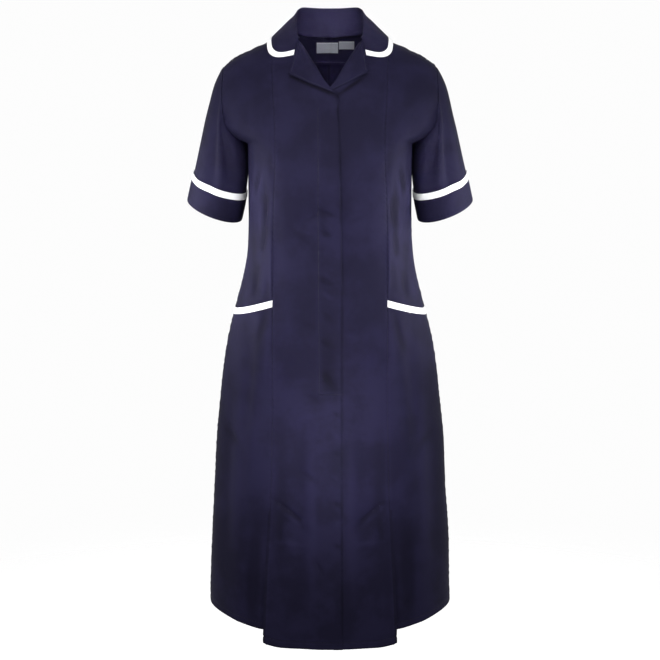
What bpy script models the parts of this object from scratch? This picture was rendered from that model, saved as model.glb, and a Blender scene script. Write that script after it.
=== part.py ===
"""Nurse's uniform dress, worn form with no wearer: princess-line panels, short cuffed sleeves,
revers, round collar and hip pockets with white trim, concealed front placket and kick pleats.

Metres, +Z up. The front faces -Y and the wearer's left is +X. The origin lies midway between the
two points where the shoulder seams meet the neck, which is where the wearer's shoulders hold it.
"""

import math
from collections import namedtuple

import bmesh
import bpy
import numpy as np

WALL = 0.0012  # thickness of one layer of cloth
SEAM_GAP = 0.0003  # between pieces that are sewn edge to edge
LAYER_GAP = 0.0005  # between pieces that lie on each other
LAYER = WALL + LAYER_GAP  # how far one layer on top moves out

WEARERS_LEFT = 1
WEARERS_RIGHT = -1

UNDERARM_Z = -0.195
NECK_X = 0.0663
PLACKET_BOTTOM_Z = -0.625
PLACKET_RAMP = 0.006
PLEAT_TOP_Z = -0.809
PLEAT_DEPTH = 0.052
PLEAT_SLANT = 0.034
PLEAT_OPENING = 0.007
HEM_Z = -1.035
HEM_BLEND_Z = -0.90
FACING_DEPTH = 0.045

Section = namedtuple("Section", "z half_width front_depth back_depth squareness")
SECTIONS = [
    Section(-1.080, 0.2200, 0.170, 0.168, 2.20),
    Section(-1.000, 0.2180, 0.167, 0.165, 2.20),
    Section(-0.900, 0.2148, 0.161, 0.158, 2.22),
    Section(-0.800, 0.2083, 0.153, 0.150, 2.25),
    Section(-0.716, 0.2040, 0.146, 0.143, 2.30),
    Section(-0.630, 0.1945, 0.138, 0.136, 2.35),
    Section(-0.540, 0.1826, 0.129, 0.127, 2.40),
    Section(-0.475, 0.1662, 0.120, 0.113, 2.45),
    Section(-0.432, 0.1551, 0.113, 0.101, 2.55),
    Section(-0.390, 0.1473, 0.109, 0.091, 2.70),
    Section(-0.350, 0.1441, 0.111, 0.087, 2.85),
    Section(-0.300, 0.1435, 0.121, 0.092, 3.00),
    Section(-0.250, 0.1435, 0.127, 0.101, 3.35),
    Section(UNDERARM_Z, 0.1437, 0.124, 0.108, 4.00),
    Section(-0.120, 0.1437, 0.117, 0.109, 4.00),
    Section(0.030, 0.1437, 0.110, 0.106, 4.00),
]

# The armhole's edge and the width of the shoulders, by the share of the way from underarm to shoulder seam.
Yoke = namedtuple("Yoke", "rise half_width squareness armhole_x")
YOKE = [
    Yoke(0.00, 0.1437, 4.00, 0.1437),
    Yoke(0.04, 0.1590, 3.40, 0.1570),
    Yoke(0.09, 0.1740, 3.00, 0.1670),
    Yoke(0.18, 0.1930, 2.70, 0.1785),
    Yoke(0.38, 0.2150, 2.50, 0.1850),
    Yoke(0.70, 0.2350, 2.50, 0.1868),
    Yoke(1.00, 0.2450, 2.50, 0.1866),
]

ShoulderLine = namedtuple("ShoulderLine", "x z")
SHOULDER_LINE = [
    ShoulderLine(0.0000, 0.0250),
    ShoulderLine(0.0663, -0.0010),
    ShoulderLine(0.1263, -0.0256),
    ShoulderLine(0.1493, -0.0361),
    ShoulderLine(0.1706, -0.0474),
    ShoulderLine(0.1866, -0.0605),
    ShoulderLine(0.2000, -0.0760),
]

# Seams that run down the front and the back, as distances from the centre.
Seams = namedtuple("Seams", "z princess back_princess panel_edge lap stitch")
SEAMS = [
    Seams(-1.080, 0.1145, 0.1100, 0.1145, 0.0210, 0.0185),
    Seams(-0.980, 0.1110, 0.1070, 0.1118, 0.0210, 0.0185),
    Seams(-0.879, 0.1055, 0.1020, 0.1062, 0.0210, 0.0185),
    Seams(-0.809, 0.1029, 0.0990, 0.1029, 0.0210, 0.0185),
    Seams(-0.635, 0.0996, 0.0950, 0.0996, 0.0210, 0.0185),
    Seams(-0.445, 0.0994, 0.0900, 0.0994, 0.0210, 0.0195),
    Seams(-0.307, 0.0975, 0.0880, 0.0975, 0.0190, 0.0203),
    Seams(-0.195, 0.0936, 0.0920, 0.0936, 0.0160, 0.0203),
    Seams(-0.112, 0.0975, 0.0980, 0.0975, 0.0121, 0.0200),
    Seams(0.000, 0.1025, 0.1020, 0.1025, 0.0121, 0.0200),
]

# Where the revers fold over, and the back neckline, by the same share of the way up as YOKE.
Fold = namedtuple("Fold", "rise x")
BREAK_RISE = 0.387
ROLL_LINE = [
    Fold(BREAK_RISE, -0.0121),
    Fold(0.434, 0.0000),
    Fold(0.650, 0.0275),
    Fold(0.897, 0.0547),
    Fold(1.000, NECK_X),
]
NAPE_RISE = 0.845
BACK_NECK = [
    Fold(NAPE_RISE, 0.0000),
    Fold(0.892, 0.0300),
    Fold(0.938, 0.0480),
    Fold(0.977, 0.0600),
    Fold(1.000, NECK_X),
]


def smooth_curve(rows, key, value):
    """A monotone cubic through two named columns of a table: no overshoot between its rows."""
    xs = np.array([getattr(row, key) for row in rows], float)
    ys = np.array([getattr(row, value) for row in rows], float)
    steps = np.diff(xs)
    slopes = np.diff(ys) / steps
    tangents = np.concatenate([[slopes[0]], (slopes[:-1] + slopes[1:]) / 2, [slopes[-1]]])
    for i, slope in enumerate(slopes):
        if abs(slope) < 1e-12:
            tangents[i] = tangents[i + 1] = 0
            continue
        before, after = tangents[i] / slope, tangents[i + 1] / slope
        if before < 0:
            tangents[i] = before = 0
        if after < 0:
            tangents[i + 1] = after = 0
        size = math.hypot(before, after)
        if size > 3:
            tangents[i] = 3 * before / size * slope
            tangents[i + 1] = 3 * after / size * slope

    def read(x):
        x = np.clip(x, xs[0], xs[-1])
        i = np.clip(np.searchsorted(xs, x, side="right") - 1, 0, len(steps) - 1)
        h = steps[i]
        s = (x - xs[i]) / h
        left = (1 + 2 * s) * (1 - s) ** 2 * ys[i] + s * (1 - s) ** 2 * h * tangents[i]
        right = s * s * (3 - 2 * s) * ys[i + 1] + s * s * (s - 1) * h * tangents[i + 1]
        return left + right

    return read


def soft_step(value, low, high):
    """0 below low, 1 above high, and smooth between them."""
    share = np.clip((value - low) / (high - low), 0, 1)
    return share * share * (3 - 2 * share)


half_width = smooth_curve(SECTIONS, "z", "half_width")
front_depth = smooth_curve(SECTIONS, "z", "front_depth")
back_depth = smooth_curve(SECTIONS, "z", "back_depth")
squareness = smooth_curve(SECTIONS, "z", "squareness")
yoke_half_width = smooth_curve(YOKE, "rise", "half_width")
yoke_squareness = smooth_curve(YOKE, "rise", "squareness")
armhole_x = smooth_curve(YOKE, "rise", "armhole_x")
shoulder_z = smooth_curve(SHOULDER_LINE, "x", "z")
princess_x = smooth_curve(SEAMS, "z", "princess")
back_princess_x = smooth_curve(SEAMS, "z", "back_princess")
panel_edge_x = smooth_curve(SEAMS, "z", "panel_edge")
lap_x = smooth_curve(SEAMS, "z", "lap")
stitch_x = smooth_curve(SEAMS, "z", "stitch")
roll_x = smooth_curve(ROLL_LINE, "rise", "x")
back_neck_x = smooth_curve(BACK_NECK, "rise", "x")

# Rows of the panels: heights below the underarm, then shares of the way up to the shoulder seam.
SKIRT_ROWS = (-0.968, -0.900, -0.850, -0.809, -0.750, -0.690, -0.625, -0.545, -0.4646)
BODICE_ROWS = (-0.420, -0.380, -0.340, -0.300, -0.250, UNDERARM_Z)
RISES = (0.04, 0.09, 0.18, 0.28, BREAK_RISE, 0.44, 0.52, 0.62, 0.74, 0.86, 0.95, 1.0)
SHOULDER_SEAM = 1.0 - 0.5 * (0.5 * SEAM_GAP / 0.105) ** 2

# Uneven soft creases, as a line on the front or the back: depth is inward when negative.
Crease = namedtuple("Crease", "facing x0 z0 x1 z1 width depth")
FRONT, BACK = -1, 1
CREASES = [
    Crease(FRONT, -0.1180, -0.215, -0.1240, -0.400, 0.0090, -0.0042),
    Crease(FRONT, -0.1050, -0.300, -0.1120, -0.440, 0.0080, 0.0022),
    Crease(FRONT, -0.1380, -0.505, -0.1450, -0.680, 0.0130, -0.0048),
    Crease(FRONT, -0.1190, -0.500, -0.1400, -0.800, 0.0120, 0.0040),
    Crease(FRONT, -0.1720, -0.560, -0.1860, -0.960, 0.0180, -0.0050),
    Crease(FRONT, -0.0550, -0.330, -0.0180, -0.310, 0.0100, -0.0018),
    Crease(FRONT, -0.0600, -0.640, -0.0560, -1.060, 0.0240, -0.0040),
    Crease(FRONT, 0.1200, -0.220, 0.1230, -0.410, 0.0090, -0.0038),
    Crease(FRONT, 0.1080, -0.320, 0.1130, -0.450, 0.0080, 0.0020),
    Crease(FRONT, 0.1360, -0.500, 0.1480, -0.700, 0.0130, -0.0044),
    Crease(FRONT, 0.1210, -0.510, 0.1380, -0.780, 0.0120, 0.0036),
    Crease(FRONT, 0.1750, -0.540, 0.1840, -0.940, 0.0180, -0.0046),
    Crease(FRONT, 0.0620, -0.600, 0.0660, -1.060, 0.0240, -0.0038),
    Crease(FRONT, 0.0040, -0.395, 0.0800, -0.380, 0.0120, -0.0020),
    Crease(BACK, -0.0700, -0.250, -0.0550, -0.420, 0.0160, -0.0040),
    Crease(BACK, 0.0740, -0.240, 0.0580, -0.400, 0.0160, -0.0036),
    Crease(BACK, -0.1200, -0.560, -0.1350, -1.020, 0.0220, -0.0060),
    Crease(BACK, -0.0480, -0.600, -0.0560, -1.030, 0.0220, 0.0050),
    Crease(BACK, 0.0400, -0.580, 0.0520, -1.030, 0.0230, -0.0050),
    Crease(BACK, 0.1220, -0.590, 0.1320, -1.020, 0.0220, 0.0055),
    Crease(BACK, -0.0600, -0.370, 0.0500, -0.395, 0.0120, -0.0030),
]


def hem_height(distance, facing, is_centre_panel):
    """The centre front hangs lower than the side panels that its pleats open over."""
    if facing == BACK:
        return -1.028 - 0.004 * soft_step(0.22 - distance, 0.0, 0.22)
    if is_centre_panel:
        return -1.0685 + 0.0040 * soft_step(distance, 0.085, 0.114)
    return -1.0425 + 0.0170 * soft_step(distance, 0.105, 0.225)


def section_at(level):
    """Half width, squareness, height over the centre and share of depth kept at a level."""
    if level <= 0:
        z = UNDERARM_Z + level
        return half_width(z), squareness(z), 1.0
    return yoke_half_width(level), yoke_squareness(level), math.sqrt(1 - level * level)


def depth_at(z, facing):
    return front_depth(z) if facing == FRONT else back_depth(z)


def height_at(distance, level):
    if level <= 0:
        return np.full_like(distance, UNDERARM_Z + level)
    return UNDERARM_Z + level * (shoulder_z(np.abs(distance)) - UNDERARM_Z)


def level_arc(level, facing):
    """A fine line round one side of the body at a level, as distances, depths, heights and length."""
    width, power, keep = section_at(level)
    angle = np.linspace(-math.pi / 2, math.pi / 2, 1441)
    distance = width * np.sign(angle) * np.abs(np.sin(angle)) ** (2 / power)
    height = height_at(distance, level)
    depth = facing * keep * depth_at(height, facing) * np.maximum(np.cos(angle), 0) ** (2 / power)
    points = np.stack([distance, depth, height], axis=1)
    steps = np.linalg.norm(np.diff(points, axis=0), axis=1)
    return points, np.concatenate([[0], np.cumsum(steps)])


def level_row(level, facing, stops, cells, trims):
    """One row of a panel: so many cells by arc length between each two stops off the centre."""
    points, length = level_arc(level, facing)
    marks = np.interp(stops, points[:, 0], length)
    marks[0] += trims[0]
    marks[-1] -= trims[1]
    spread = [np.linspace(a, b, n + 1)[:-1] for a, b, n in zip(marks[:-1], marks[1:], cells)]
    spread = np.concatenate(spread + [marks[-1:]])
    return np.stack([np.interp(spread, length, points[:, axis]) for axis in range(3)], axis=1)


def at_height(row, new_z, facing):
    """Move a row of the skirt along the surface to other heights."""
    old_z = row[:, 2]
    row = row.copy()
    row[:, 0] *= half_width(new_z) / half_width(old_z)
    row[:, 1] *= depth_at(new_z, facing) / depth_at(old_z, facing)
    row[:, 2] = new_z
    return row


def hang(row, facing, is_centre_panel):
    """Below the knee the rows run over from level to the slope of the hem."""
    share = (HEM_BLEND_Z - row[:, 2]) / (HEM_BLEND_Z - HEM_Z)
    if np.all(share <= 0):
        return row
    hem = hem_height(np.abs(row[:, 0]), facing, is_centre_panel)
    return at_height(row, HEM_BLEND_Z + np.clip(share, 0, 1) * (hem - HEM_BLEND_Z), facing)


def creased(grid, side, facing):
    """Put an own-side grid on its side of the body and press the creases into it."""
    grid = grid * np.array([side, 1, 1])
    x, y, z = grid[..., 0], grid[..., 1], grid[..., 2]
    width, depth, power = half_width(z), depth_at(z, facing), squareness(z)
    out_x = np.sign(x) * np.minimum(np.abs(x) / width, 1) ** (power - 1) / width
    out_y = np.sign(y) * np.minimum(np.abs(y) / depth, 1) ** (power - 1) / depth
    size = np.maximum(np.hypot(out_x, out_y), 1e-9)
    move = np.zeros_like(x)
    for crease in CREASES:
        if crease.facing != facing:
            continue
        run = np.array([crease.x1 - crease.x0, crease.z1 - crease.z0])
        along = ((x - crease.x0) * run[0] + (z - crease.z0) * run[1]) / (run @ run)
        nearest = np.clip(along, 0, 1)
        off = np.hypot(x - crease.x0 - nearest * run[0], z - crease.z0 - nearest * run[1])
        swell = 0.35 + 0.65 * np.sin(math.pi * np.clip(nearest, 0.05, 0.95))
        move += crease.depth * swell * np.exp(-(off / crease.width) ** 2)
    move *= soft_step(-z, 0.10, 0.20) * soft_step(np.abs(y), 0.015, 0.055)
    grid[..., 0] += move * out_x / size
    grid[..., 1] += move * out_y / size
    return grid


def normals(grid, outward, closed=False):
    """Unit normals of a grid of points, turned so that those of its first column agree with outward."""
    if closed:
        across = np.roll(grid, -1, axis=1) - np.roll(grid, 1, axis=1)
    else:
        across = np.gradient(grid, axis=1)
    along = np.gradient(grid, axis=0)
    normal = np.cross(across, along)
    normal /= np.maximum(np.linalg.norm(normal, axis=2, keepdims=True), 1e-12)
    middle = normal[len(grid) // 2, 0]
    return normal if middle @ np.array(outward, float) > 0 else -normal


def moved_out(grid, normal, distance):
    if np.ndim(distance) == 2:
        distance = distance[..., None]
    return grid + normal * distance


def solid(name, inner, outer, color, closed=False):
    """A closed piece of cloth between two grids of points, as a named object with its own material."""
    rows, columns = inner.shape[:2]
    points = np.concatenate([inner.reshape(-1, 3), outer.reshape(-1, 3)])
    far = rows * columns
    wraps = columns if closed else columns - 1

    def at(row, column):
        return row * columns + column % columns

    faces = []
    for row in range(rows - 1):
        for column in range(wraps):
            a, b = at(row, column), at(row, column + 1)
            c, d = at(row + 1, column + 1), at(row + 1, column)
            faces += [(a, b, c), (a, c, d)]
            faces += [(far + c, far + b, far + a), (far + d, far + c, far + a)]
    flat_from = len(faces)
    for column in range(wraps):
        for row in (0, rows - 1):
            a, b = at(row, column), at(row, column + 1)
            faces.append((a, b, far + b, far + a))
    if not closed:
        for row in range(rows - 1):
            for column in (0, columns - 1):
                a, b = at(row, column), at(row + 1, column)
                faces.append((a, b, far + b, far + a))

    mesh = bpy.data.meshes.new(name)
    mesh.from_pydata(points.tolist(), [], faces)
    shape = bmesh.new()
    shape.from_mesh(mesh)
    bmesh.ops.recalc_face_normals(shape, faces=shape.faces)
    shape.faces.ensure_lookup_table()
    for index, face in enumerate(shape.faces):
        face.smooth = index < flat_from
        if index >= flat_from:
            for edge in face.edges:
                edge.smooth = False
    shape.to_mesh(mesh)
    shape.free()

    material = bpy.data.materials.new(name + "_cloth")
    material.use_nodes = True
    shader = material.node_tree.nodes["Principled BSDF"]
    shader.inputs["Base Color"].default_value = (*color, 1)
    shader.inputs["Roughness"].default_value = 0.75
    mesh.materials.append(material)
    made = bpy.data.objects.new(name, mesh)
    bpy.context.scene.collection.objects.link(made)
    return made


def layer(name, grid, normal, lift, color, closed=False):
    """One thickness of cloth, lifted off the grid it lies on."""
    solid(name, moved_out(grid, normal, lift), moved_out(grid, normal, lift + WALL), color, closed)


NAVY = (0.022, 0.020, 0.042)
WHITE = (0.84, 0.84, 0.85)
GREY = (0.20, 0.20, 0.26)

LEVELS = [z - UNDERARM_Z for z in (HEM_Z,) + SKIRT_ROWS + BODICE_ROWS] + list(RISES)
LEVELS[-1] = SHOULDER_SEAM
BREAK_LEVEL = BREAK_RISE
HALF_GAP = SEAM_GAP / 2
UNDERLAP = 0.0165
FRONT_LIFT = 0.0054  # the right front lies this far out where the fly is under it
LAP_LIFT = 0.0017
UNDER_TURN_LIFT = -0.0017
POCKET_TOP_Z = -0.4646
POCKET_BAG_Z = -0.690
POCKET_FALL = 0.33
PRINCESS_TOP = 0.0966
POCKET_TRIM = 0.011
CUFF_DEPTH = 0.050
CUFF_TRIM = 0.011
COLLAR_TRIM = 0.010
COLLAR_REST = 0.0016

SIDES = (("right", WEARERS_RIGHT), ("left", WEARERS_LEFT))


def level_z(level):
    """Height of a seam that runs about 0.1 m off the centre."""
    return UNDERARM_Z + (level if level <= 0 else level * (shoulder_z(0.1) - UNDERARM_Z))


def outer_edge(level):
    """The side seam below the underarm and the armhole above it."""
    return half_width(level_z(level)) if level <= 0 else float(armhole_x(level))


def front_edge(level):
    if level <= BREAK_LEVEL:
        return -float(lap_x(level_z(level)))
    return float(roll_x(level))


def front_lift(distance, level):
    """How far the right front is raised over the placket, or over the lap below it."""
    z = level_z(level)
    near = 1 - soft_step(distance, stitch_x(z), stitch_x(z) + PLACKET_RAMP)
    placket = soft_step(z, PLACKET_BOTTOM_Z - 0.012, PLACKET_BOTTOM_Z + 0.002)
    closed = 1 - soft_step(level, 0.44, 0.60)
    return near * closed * (LAP_LIFT + placket * (FRONT_LIFT - LAP_LIFT))


def panel(side, facing, levels, stops_at, cells, trims=(HALF_GAP, HALF_GAP), centre=False):
    rows = [level_row(level, facing, stops_at(level), cells, trims) for level in levels]
    rows = [hang(row, facing, centre) if level < 0 else row for level, row in zip(levels, rows)]
    grid = creased(np.array(rows), side, facing)
    return grid, normals(grid, (0, facing, 0))


def front_stops(level, widest_lap=1.0):
    """Stops across a front: its edge, both sides of the placket's stitching, and the princess seam."""
    edge = max(front_edge(min(level, BREAK_LEVEL)), -widest_lap)
    seam = float(panel_edge_x(level_z(level)))
    stitch = float(stitch_x(level_z(level)))
    shares = [(stop - edge) / (seam - edge) for stop in (edge, stitch, stitch + PLACKET_RAMP, seam)]
    start = max(front_edge(level), -widest_lap)
    return [start + share * (seam - start) for share in shares]


def left_front_stops(level):
    return front_stops(level, UNDERLAP)


def build_fronts():
    grid, normal = panel(WEARERS_LEFT, FRONT, LEVELS, left_front_stops, (2, 1, 4), centre=True)
    layer("front_left", grid, normal, 0.0, NAVY)
    grid, normal = panel(WEARERS_RIGHT, FRONT, LEVELS, front_stops, (2, 1, 4), centre=True)
    distance = -grid[..., 0]
    lifts = np.array([front_lift(row, level) for row, level in zip(distance, LEVELS)])
    layer("front_right", grid, normal, lifts, NAVY)

    fly_levels = [level for level in LEVELS if PLACKET_BOTTOM_Z - UNDERARM_Z <= level < BREAK_LEVEL]

    def fly_stops(level):
        return [front_edge(level) + 0.003, float(stitch_x(level_z(level))) - 0.0015]

    grid, normal = panel(WEARERS_RIGHT, FRONT, fly_levels, fly_stops, (2,))
    layer("button_fly", grid, normal, LAYER, NAVY)


def pleat_recess(distance, level):
    """How far the side panel lies in behind the centre panel's edge once the pleat opens."""
    z = level_z(level)
    below = soft_step(PLEAT_TOP_Z - z, 0.0, 0.03)
    edge = panel_edge_x(z)
    reach = 1 - soft_step(distance, edge + 0.001, edge + 0.034)
    opening = PLEAT_OPENING * soft_step(PLEAT_TOP_Z - z, 0.0, 0.24)
    return -below * reach * (2 * LAYER + opening)


def side_stops(level):
    z = level_z(level)
    return [float(princess_x(z)), float(princess_x(z)) + 0.012, outer_edge(level)]


def side_rows(levels):
    """Rows of a side panel, which slant with the pocket's edge and run level again away from it."""
    rows = []
    for level in levels:
        z = level_z(level)
        row = level_row(level, FRONT, side_stops(level), (2, 4), (HALF_GAP, HALF_GAP))
        if level < 0:
            row = hang(row, FRONT, False)
            share = soft_step(z, -0.75, POCKET_TOP_Z) * (1 - soft_step(z, POCKET_TOP_Z, -0.34))
            row = at_height(row, row[:, 2] - share * POCKET_FALL * (row[:, 0] - PRINCESS_TOP), FRONT)
        rows.append(row)
    return np.array(rows)


def build_side_fronts():
    """The upper side panel runs on down behind the pocket; the skirt's side panel starts at its edge."""
    bag = LEVELS.index(POCKET_BAG_Z - UNDERARM_Z)
    pocket = LEVELS.index(POCKET_TOP_Z - UNDERARM_Z)
    above_pocket = POCKET_TOP_Z + 0.015 - UNDERARM_Z
    upper = LEVELS[bag:pocket + 1] + [above_pocket] + LEVELS[pocket + 1:]
    skirt = LEVELS[:pocket + 1]
    for side_name, side in SIDES:
        grid = creased(side_rows(upper), side, FRONT)
        lifts = np.zeros(grid.shape[:2])
        lifts[:pocket + 1 - bag] = -LAYER
        layer("side_front_" + side_name, grid, normals(grid, (0, FRONT, 0)), lifts, NAVY)

        rows = side_rows(skirt)
        grid = creased(rows, side, FRONT)
        lifts = np.array([pleat_recess(np.abs(row[:, 0]), level) for row, level in zip(grid, skirt)])
        layer("side_skirt_" + side_name, grid, normals(grid, (0, FRONT, 0)), lifts, NAVY)

        share = POCKET_TRIM / (rows[-1, 0, 2] - rows[-2, 0, 2])
        low = grid[-1] + share * (grid[-2] - grid[-1])
        trim = np.array([low, grid[-1]])
        layer("pocket_trim_" + side_name, trim, normals(trim, (0, FRONT, 0)), LAYER, WHITE)


def build_backs():
    for side_name, side in SIDES:
        def side_back_stops(level):
            return [float(back_princess_x(level_z(level))), outer_edge(level)]

        def back_stops(level):
            start = float(back_neck_x(level)) if level > NAPE_RISE else 0.0
            return [start, float(back_princess_x(level_z(level)))]

        grid, normal = panel(side, BACK, LEVELS, side_back_stops, (5,))
        layer("side_back_" + side_name, grid, normal, 0.0, NAVY)
        grid, normal = panel(side, BACK, LEVELS, back_stops, (4,))
        layer("back_" + side_name, grid, normal, 0.0, NAVY)


PleatLine = namedtuple("PleatLine", "inward depth opens")
PLEAT_LINES = [
    PleatLine(0.0022, 0.0020, 0.0),
    PleatLine(0.0200, 0.0020, 0.0),
    PleatLine(0.0480, 0.0020, 0.0),
    PleatLine(0.0500, 0.0032, 0.1),
    PleatLine(0.0480, 0.0044, 0.2),
    PleatLine(0.0240, 0.0044, 0.6),
    PleatLine(-0.0040, 0.0047, 1.0),
]
PLEAT_ROWS = (1.0, 0.74, 0.48, 0.22, 0.0)


def build_pleats():
    """Each kick pleat folds in under the centre panel and back out to the side panel, slanted on top."""
    for side_name, side in SIDES:
        rows = []
        for share in PLEAT_ROWS:
            row = []
            for line in PLEAT_LINES:
                top = PLEAT_TOP_Z - 0.004 - PLEAT_SLANT * line.inward / PLEAT_DEPTH
                foot = hem_height(np.array(line.inward + 0.06), FRONT, line.opens < 0.15) + 0.002
                z = float(top + share * (foot - top))
                row.append((float(panel_edge_x(z)) - line.inward, z))
            rows.append(row)
        flat = np.array(rows)
        x, z = flat[..., 0], flat[..., 1]
        width, power = half_width(z), squareness(z)
        y = FRONT * front_depth(z) * (1 - np.minimum(x / width, 1) ** power) ** (1 / power)
        depth = np.array([line.depth for line in PLEAT_LINES])
        opens = np.array([line.opens for line in PLEAT_LINES])
        recess = depth + PLEAT_OPENING * opens * soft_step(PLEAT_TOP_Z - z, 0.0, 0.24)
        grid = creased(np.stack([x, y, z], axis=2), side, FRONT)
        grid[..., 1] -= FRONT * recess
        layer("pleat_" + side_name, grid, normals(grid, (0, FRONT, 0)), 0.0, NAVY)


def rise_at(x, z):
    return (z - UNDERARM_Z) / (shoulder_z(np.abs(x)) - UNDERARM_Z)


def on_yoke(x, z, facing):
    """Points of the body above the underarm, from their distances off the centre and heights."""
    rise = np.clip(rise_at(x, z), 0, SHOULDER_SEAM)
    share = np.minimum(np.abs(x) / yoke_half_width(rise), 1)
    power = yoke_squareness(rise)
    y = facing * depth_at(z, facing) * np.sqrt(1 - rise * rise) * (1 - share ** power) ** (1 / power)
    return np.stack([x, y, UNDERARM_Z + rise * (shoulder_z(np.abs(x)) - UNDERARM_Z)], axis=-1)


Lapel = namedtuple("Lapel", "tip_x tip_z notch_x notch_z under_lift")
LAPELS = {
    "right": Lapel(0.0707, -0.0783, 0.0610, -0.0466, 0.0),
    "left": Lapel(0.0653, -0.0754, 0.0605, -0.0466, 0.0),
}
ROLL_TOP_RISE = 0.858
GORGE_TOP = np.array([0.0545, -0.0190])  # where the seam to the collar meets the roll line
LAPEL_LIFT = 0.0027
LAPEL_ROWS = 9
NOTCH_SHARE = 0.625  # of the rows lie below the notch; the rest run up the seam to the collar
GORGE_SHARE = 0.80
LAPEL_COLUMNS = 6


def build_lapels():
    """Each revers is a patch between its roll line, lower edge, outer edge and the seam to the collar."""
    for side_name, side in SIDES:
        lapel = LAPELS[side_name]
        tip = np.array([lapel.tip_x, lapel.tip_z])
        notch = np.array([lapel.notch_x, lapel.notch_z])
        up = np.linspace(0, 1, LAPEL_ROWS)[:, None, None]
        out = np.linspace(0, 1, LAPEL_COLUMNS)[None, :, None]
        rises = np.linspace(BREAK_RISE, ROLL_TOP_RISE, LAPEL_ROWS)
        roll = roll_x(rises) - 0.0005
        roll = np.stack([roll, height_on_roll(roll, rises)], axis=1)
        gorge = notch + GORGE_SHARE * (GORGE_TOP - notch)
        bottom = roll[0] + out * (tip - roll[0])
        top = roll[-1] + out * (gorge - roll[-1])
        to_notch = np.minimum(up / NOTCH_SHARE, 1)
        past_notch = np.maximum(up - NOTCH_SHARE, 0) / (1 - NOTCH_SHARE)
        outer = tip + to_notch * (notch - tip) + past_notch * (gorge - notch)
        corners = (1 - up) * (1 - out) * roll[0] + (1 - up) * out * tip
        corners = corners + up * (1 - out) * roll[-1] + up * out * gorge
        flat = (1 - out) * roll[:, None, :] + out * outer + (1 - up) * bottom + up * top - corners
        grid = on_yoke(flat[..., 0], flat[..., 1], FRONT)
        rise = rise_at(flat[..., 0], flat[..., 1])
        grid = creased(grid, side, FRONT)
        normal = normals(grid, (0, FRONT, 0))
        lifts = np.full(rise.shape, LAPEL_LIFT)
        if side == WEARERS_RIGHT:
            under = [front_lift(s, r) for s, r in zip(np.abs(grid[..., 0]).ravel(), rise.ravel())]
            lifts = lifts + np.array(under).reshape(rise.shape) + LAYER_GAP
        puff = 0.0024 * np.sin(math.pi * np.minimum(out[..., 0] * 1.9, 1)) ** 1.0
        clear = soft_step(rise, 0.48, 0.62)
        lifts = lifts + puff * clear
        layer("lapel_" + side_name, grid, normal, lifts, NAVY)


def height_on_roll(distance, rises):
    return UNDERARM_Z + rises * (shoulder_z(np.abs(distance)) - UNDERARM_Z)


# The collar, from the centre of the back to its front end: the share of rise of its seam to the neck,
# its fold, and its outer edge.
Station = namedtuple("Station", "facing seam_rise fold_x fold_y fold_z edge_x edge_z")
COLLAR = [
    Station(BACK, 0.846, 0.0000, 0.0680, 0.0440, 0.0000, -0.0300),
    Station(BACK, 0.860, 0.0160, 0.0673, 0.0441, 0.0210, -0.0302),
    Station(BACK, 0.892, 0.0310, 0.0650, 0.0446, 0.0420, -0.0303),
    Station(BACK, 0.925, 0.0440, 0.0590, 0.0450, 0.0630, -0.0297),
    Station(BACK, 0.955, 0.0535, 0.0480, 0.0432, 0.0850, -0.0268),
    Station(BACK, 0.980, 0.0575, 0.0340, 0.0368, 0.1010, -0.0223),
    Station(BACK, 0.996, 0.0590, 0.0180, 0.0285, 0.1070, -0.0182),
    Station(FRONT, 0.998, 0.0595, 0.0020, 0.0195, 0.1088, -0.0172),
    Station(FRONT, 0.988, 0.0592, -0.0120, 0.0110, 0.1088, -0.0250),
    Station(FRONT, 0.974, 0.0588, -0.0240, 0.0035, 0.1080, -0.0325),
    Station(FRONT, 0.961, 0.0582, -0.0330, -0.0020, 0.1052, -0.0405),
    Station(FRONT, 0.948, 0.0576, -0.0400, -0.0065, 0.0985, -0.0462),
    Station(FRONT, 0.934, 0.0568, -0.0455, -0.0100, 0.0890, -0.0484),
    Station(FRONT, 0.918, 0.0560, -0.0500, -0.0128, 0.0755, -0.0472),
    Station(FRONT, 0.903, 0.0550, -0.0535, -0.0150, 0.0622, -0.0448),
]
STAND_SHARES = (0.0, 0.45, 0.86)
FALL_ROWS = 5


def clear_of_body(point, clearance):
    """Push a point out until it lies at least so far off the body above the underarm."""
    x, y, z = point
    facing = FRONT if y < 0 else BACK
    rise = max(float(rise_at(x, z)), 0.0)
    width, power = yoke_half_width(min(rise, 1)), yoke_squareness(min(rise, 1))
    reach = float(depth_at(z, facing) * (1 - min(abs(x) / width, 1) ** power) ** (1 / power))
    off = math.hypot(rise, y / reach)
    least = 1 + clearance / 0.135
    if off >= least:
        return point
    grow = least / off
    top = float(shoulder_z(abs(x))) - UNDERARM_Z
    return np.array([x, y * grow, UNDERARM_Z + rise * grow * top])


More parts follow.
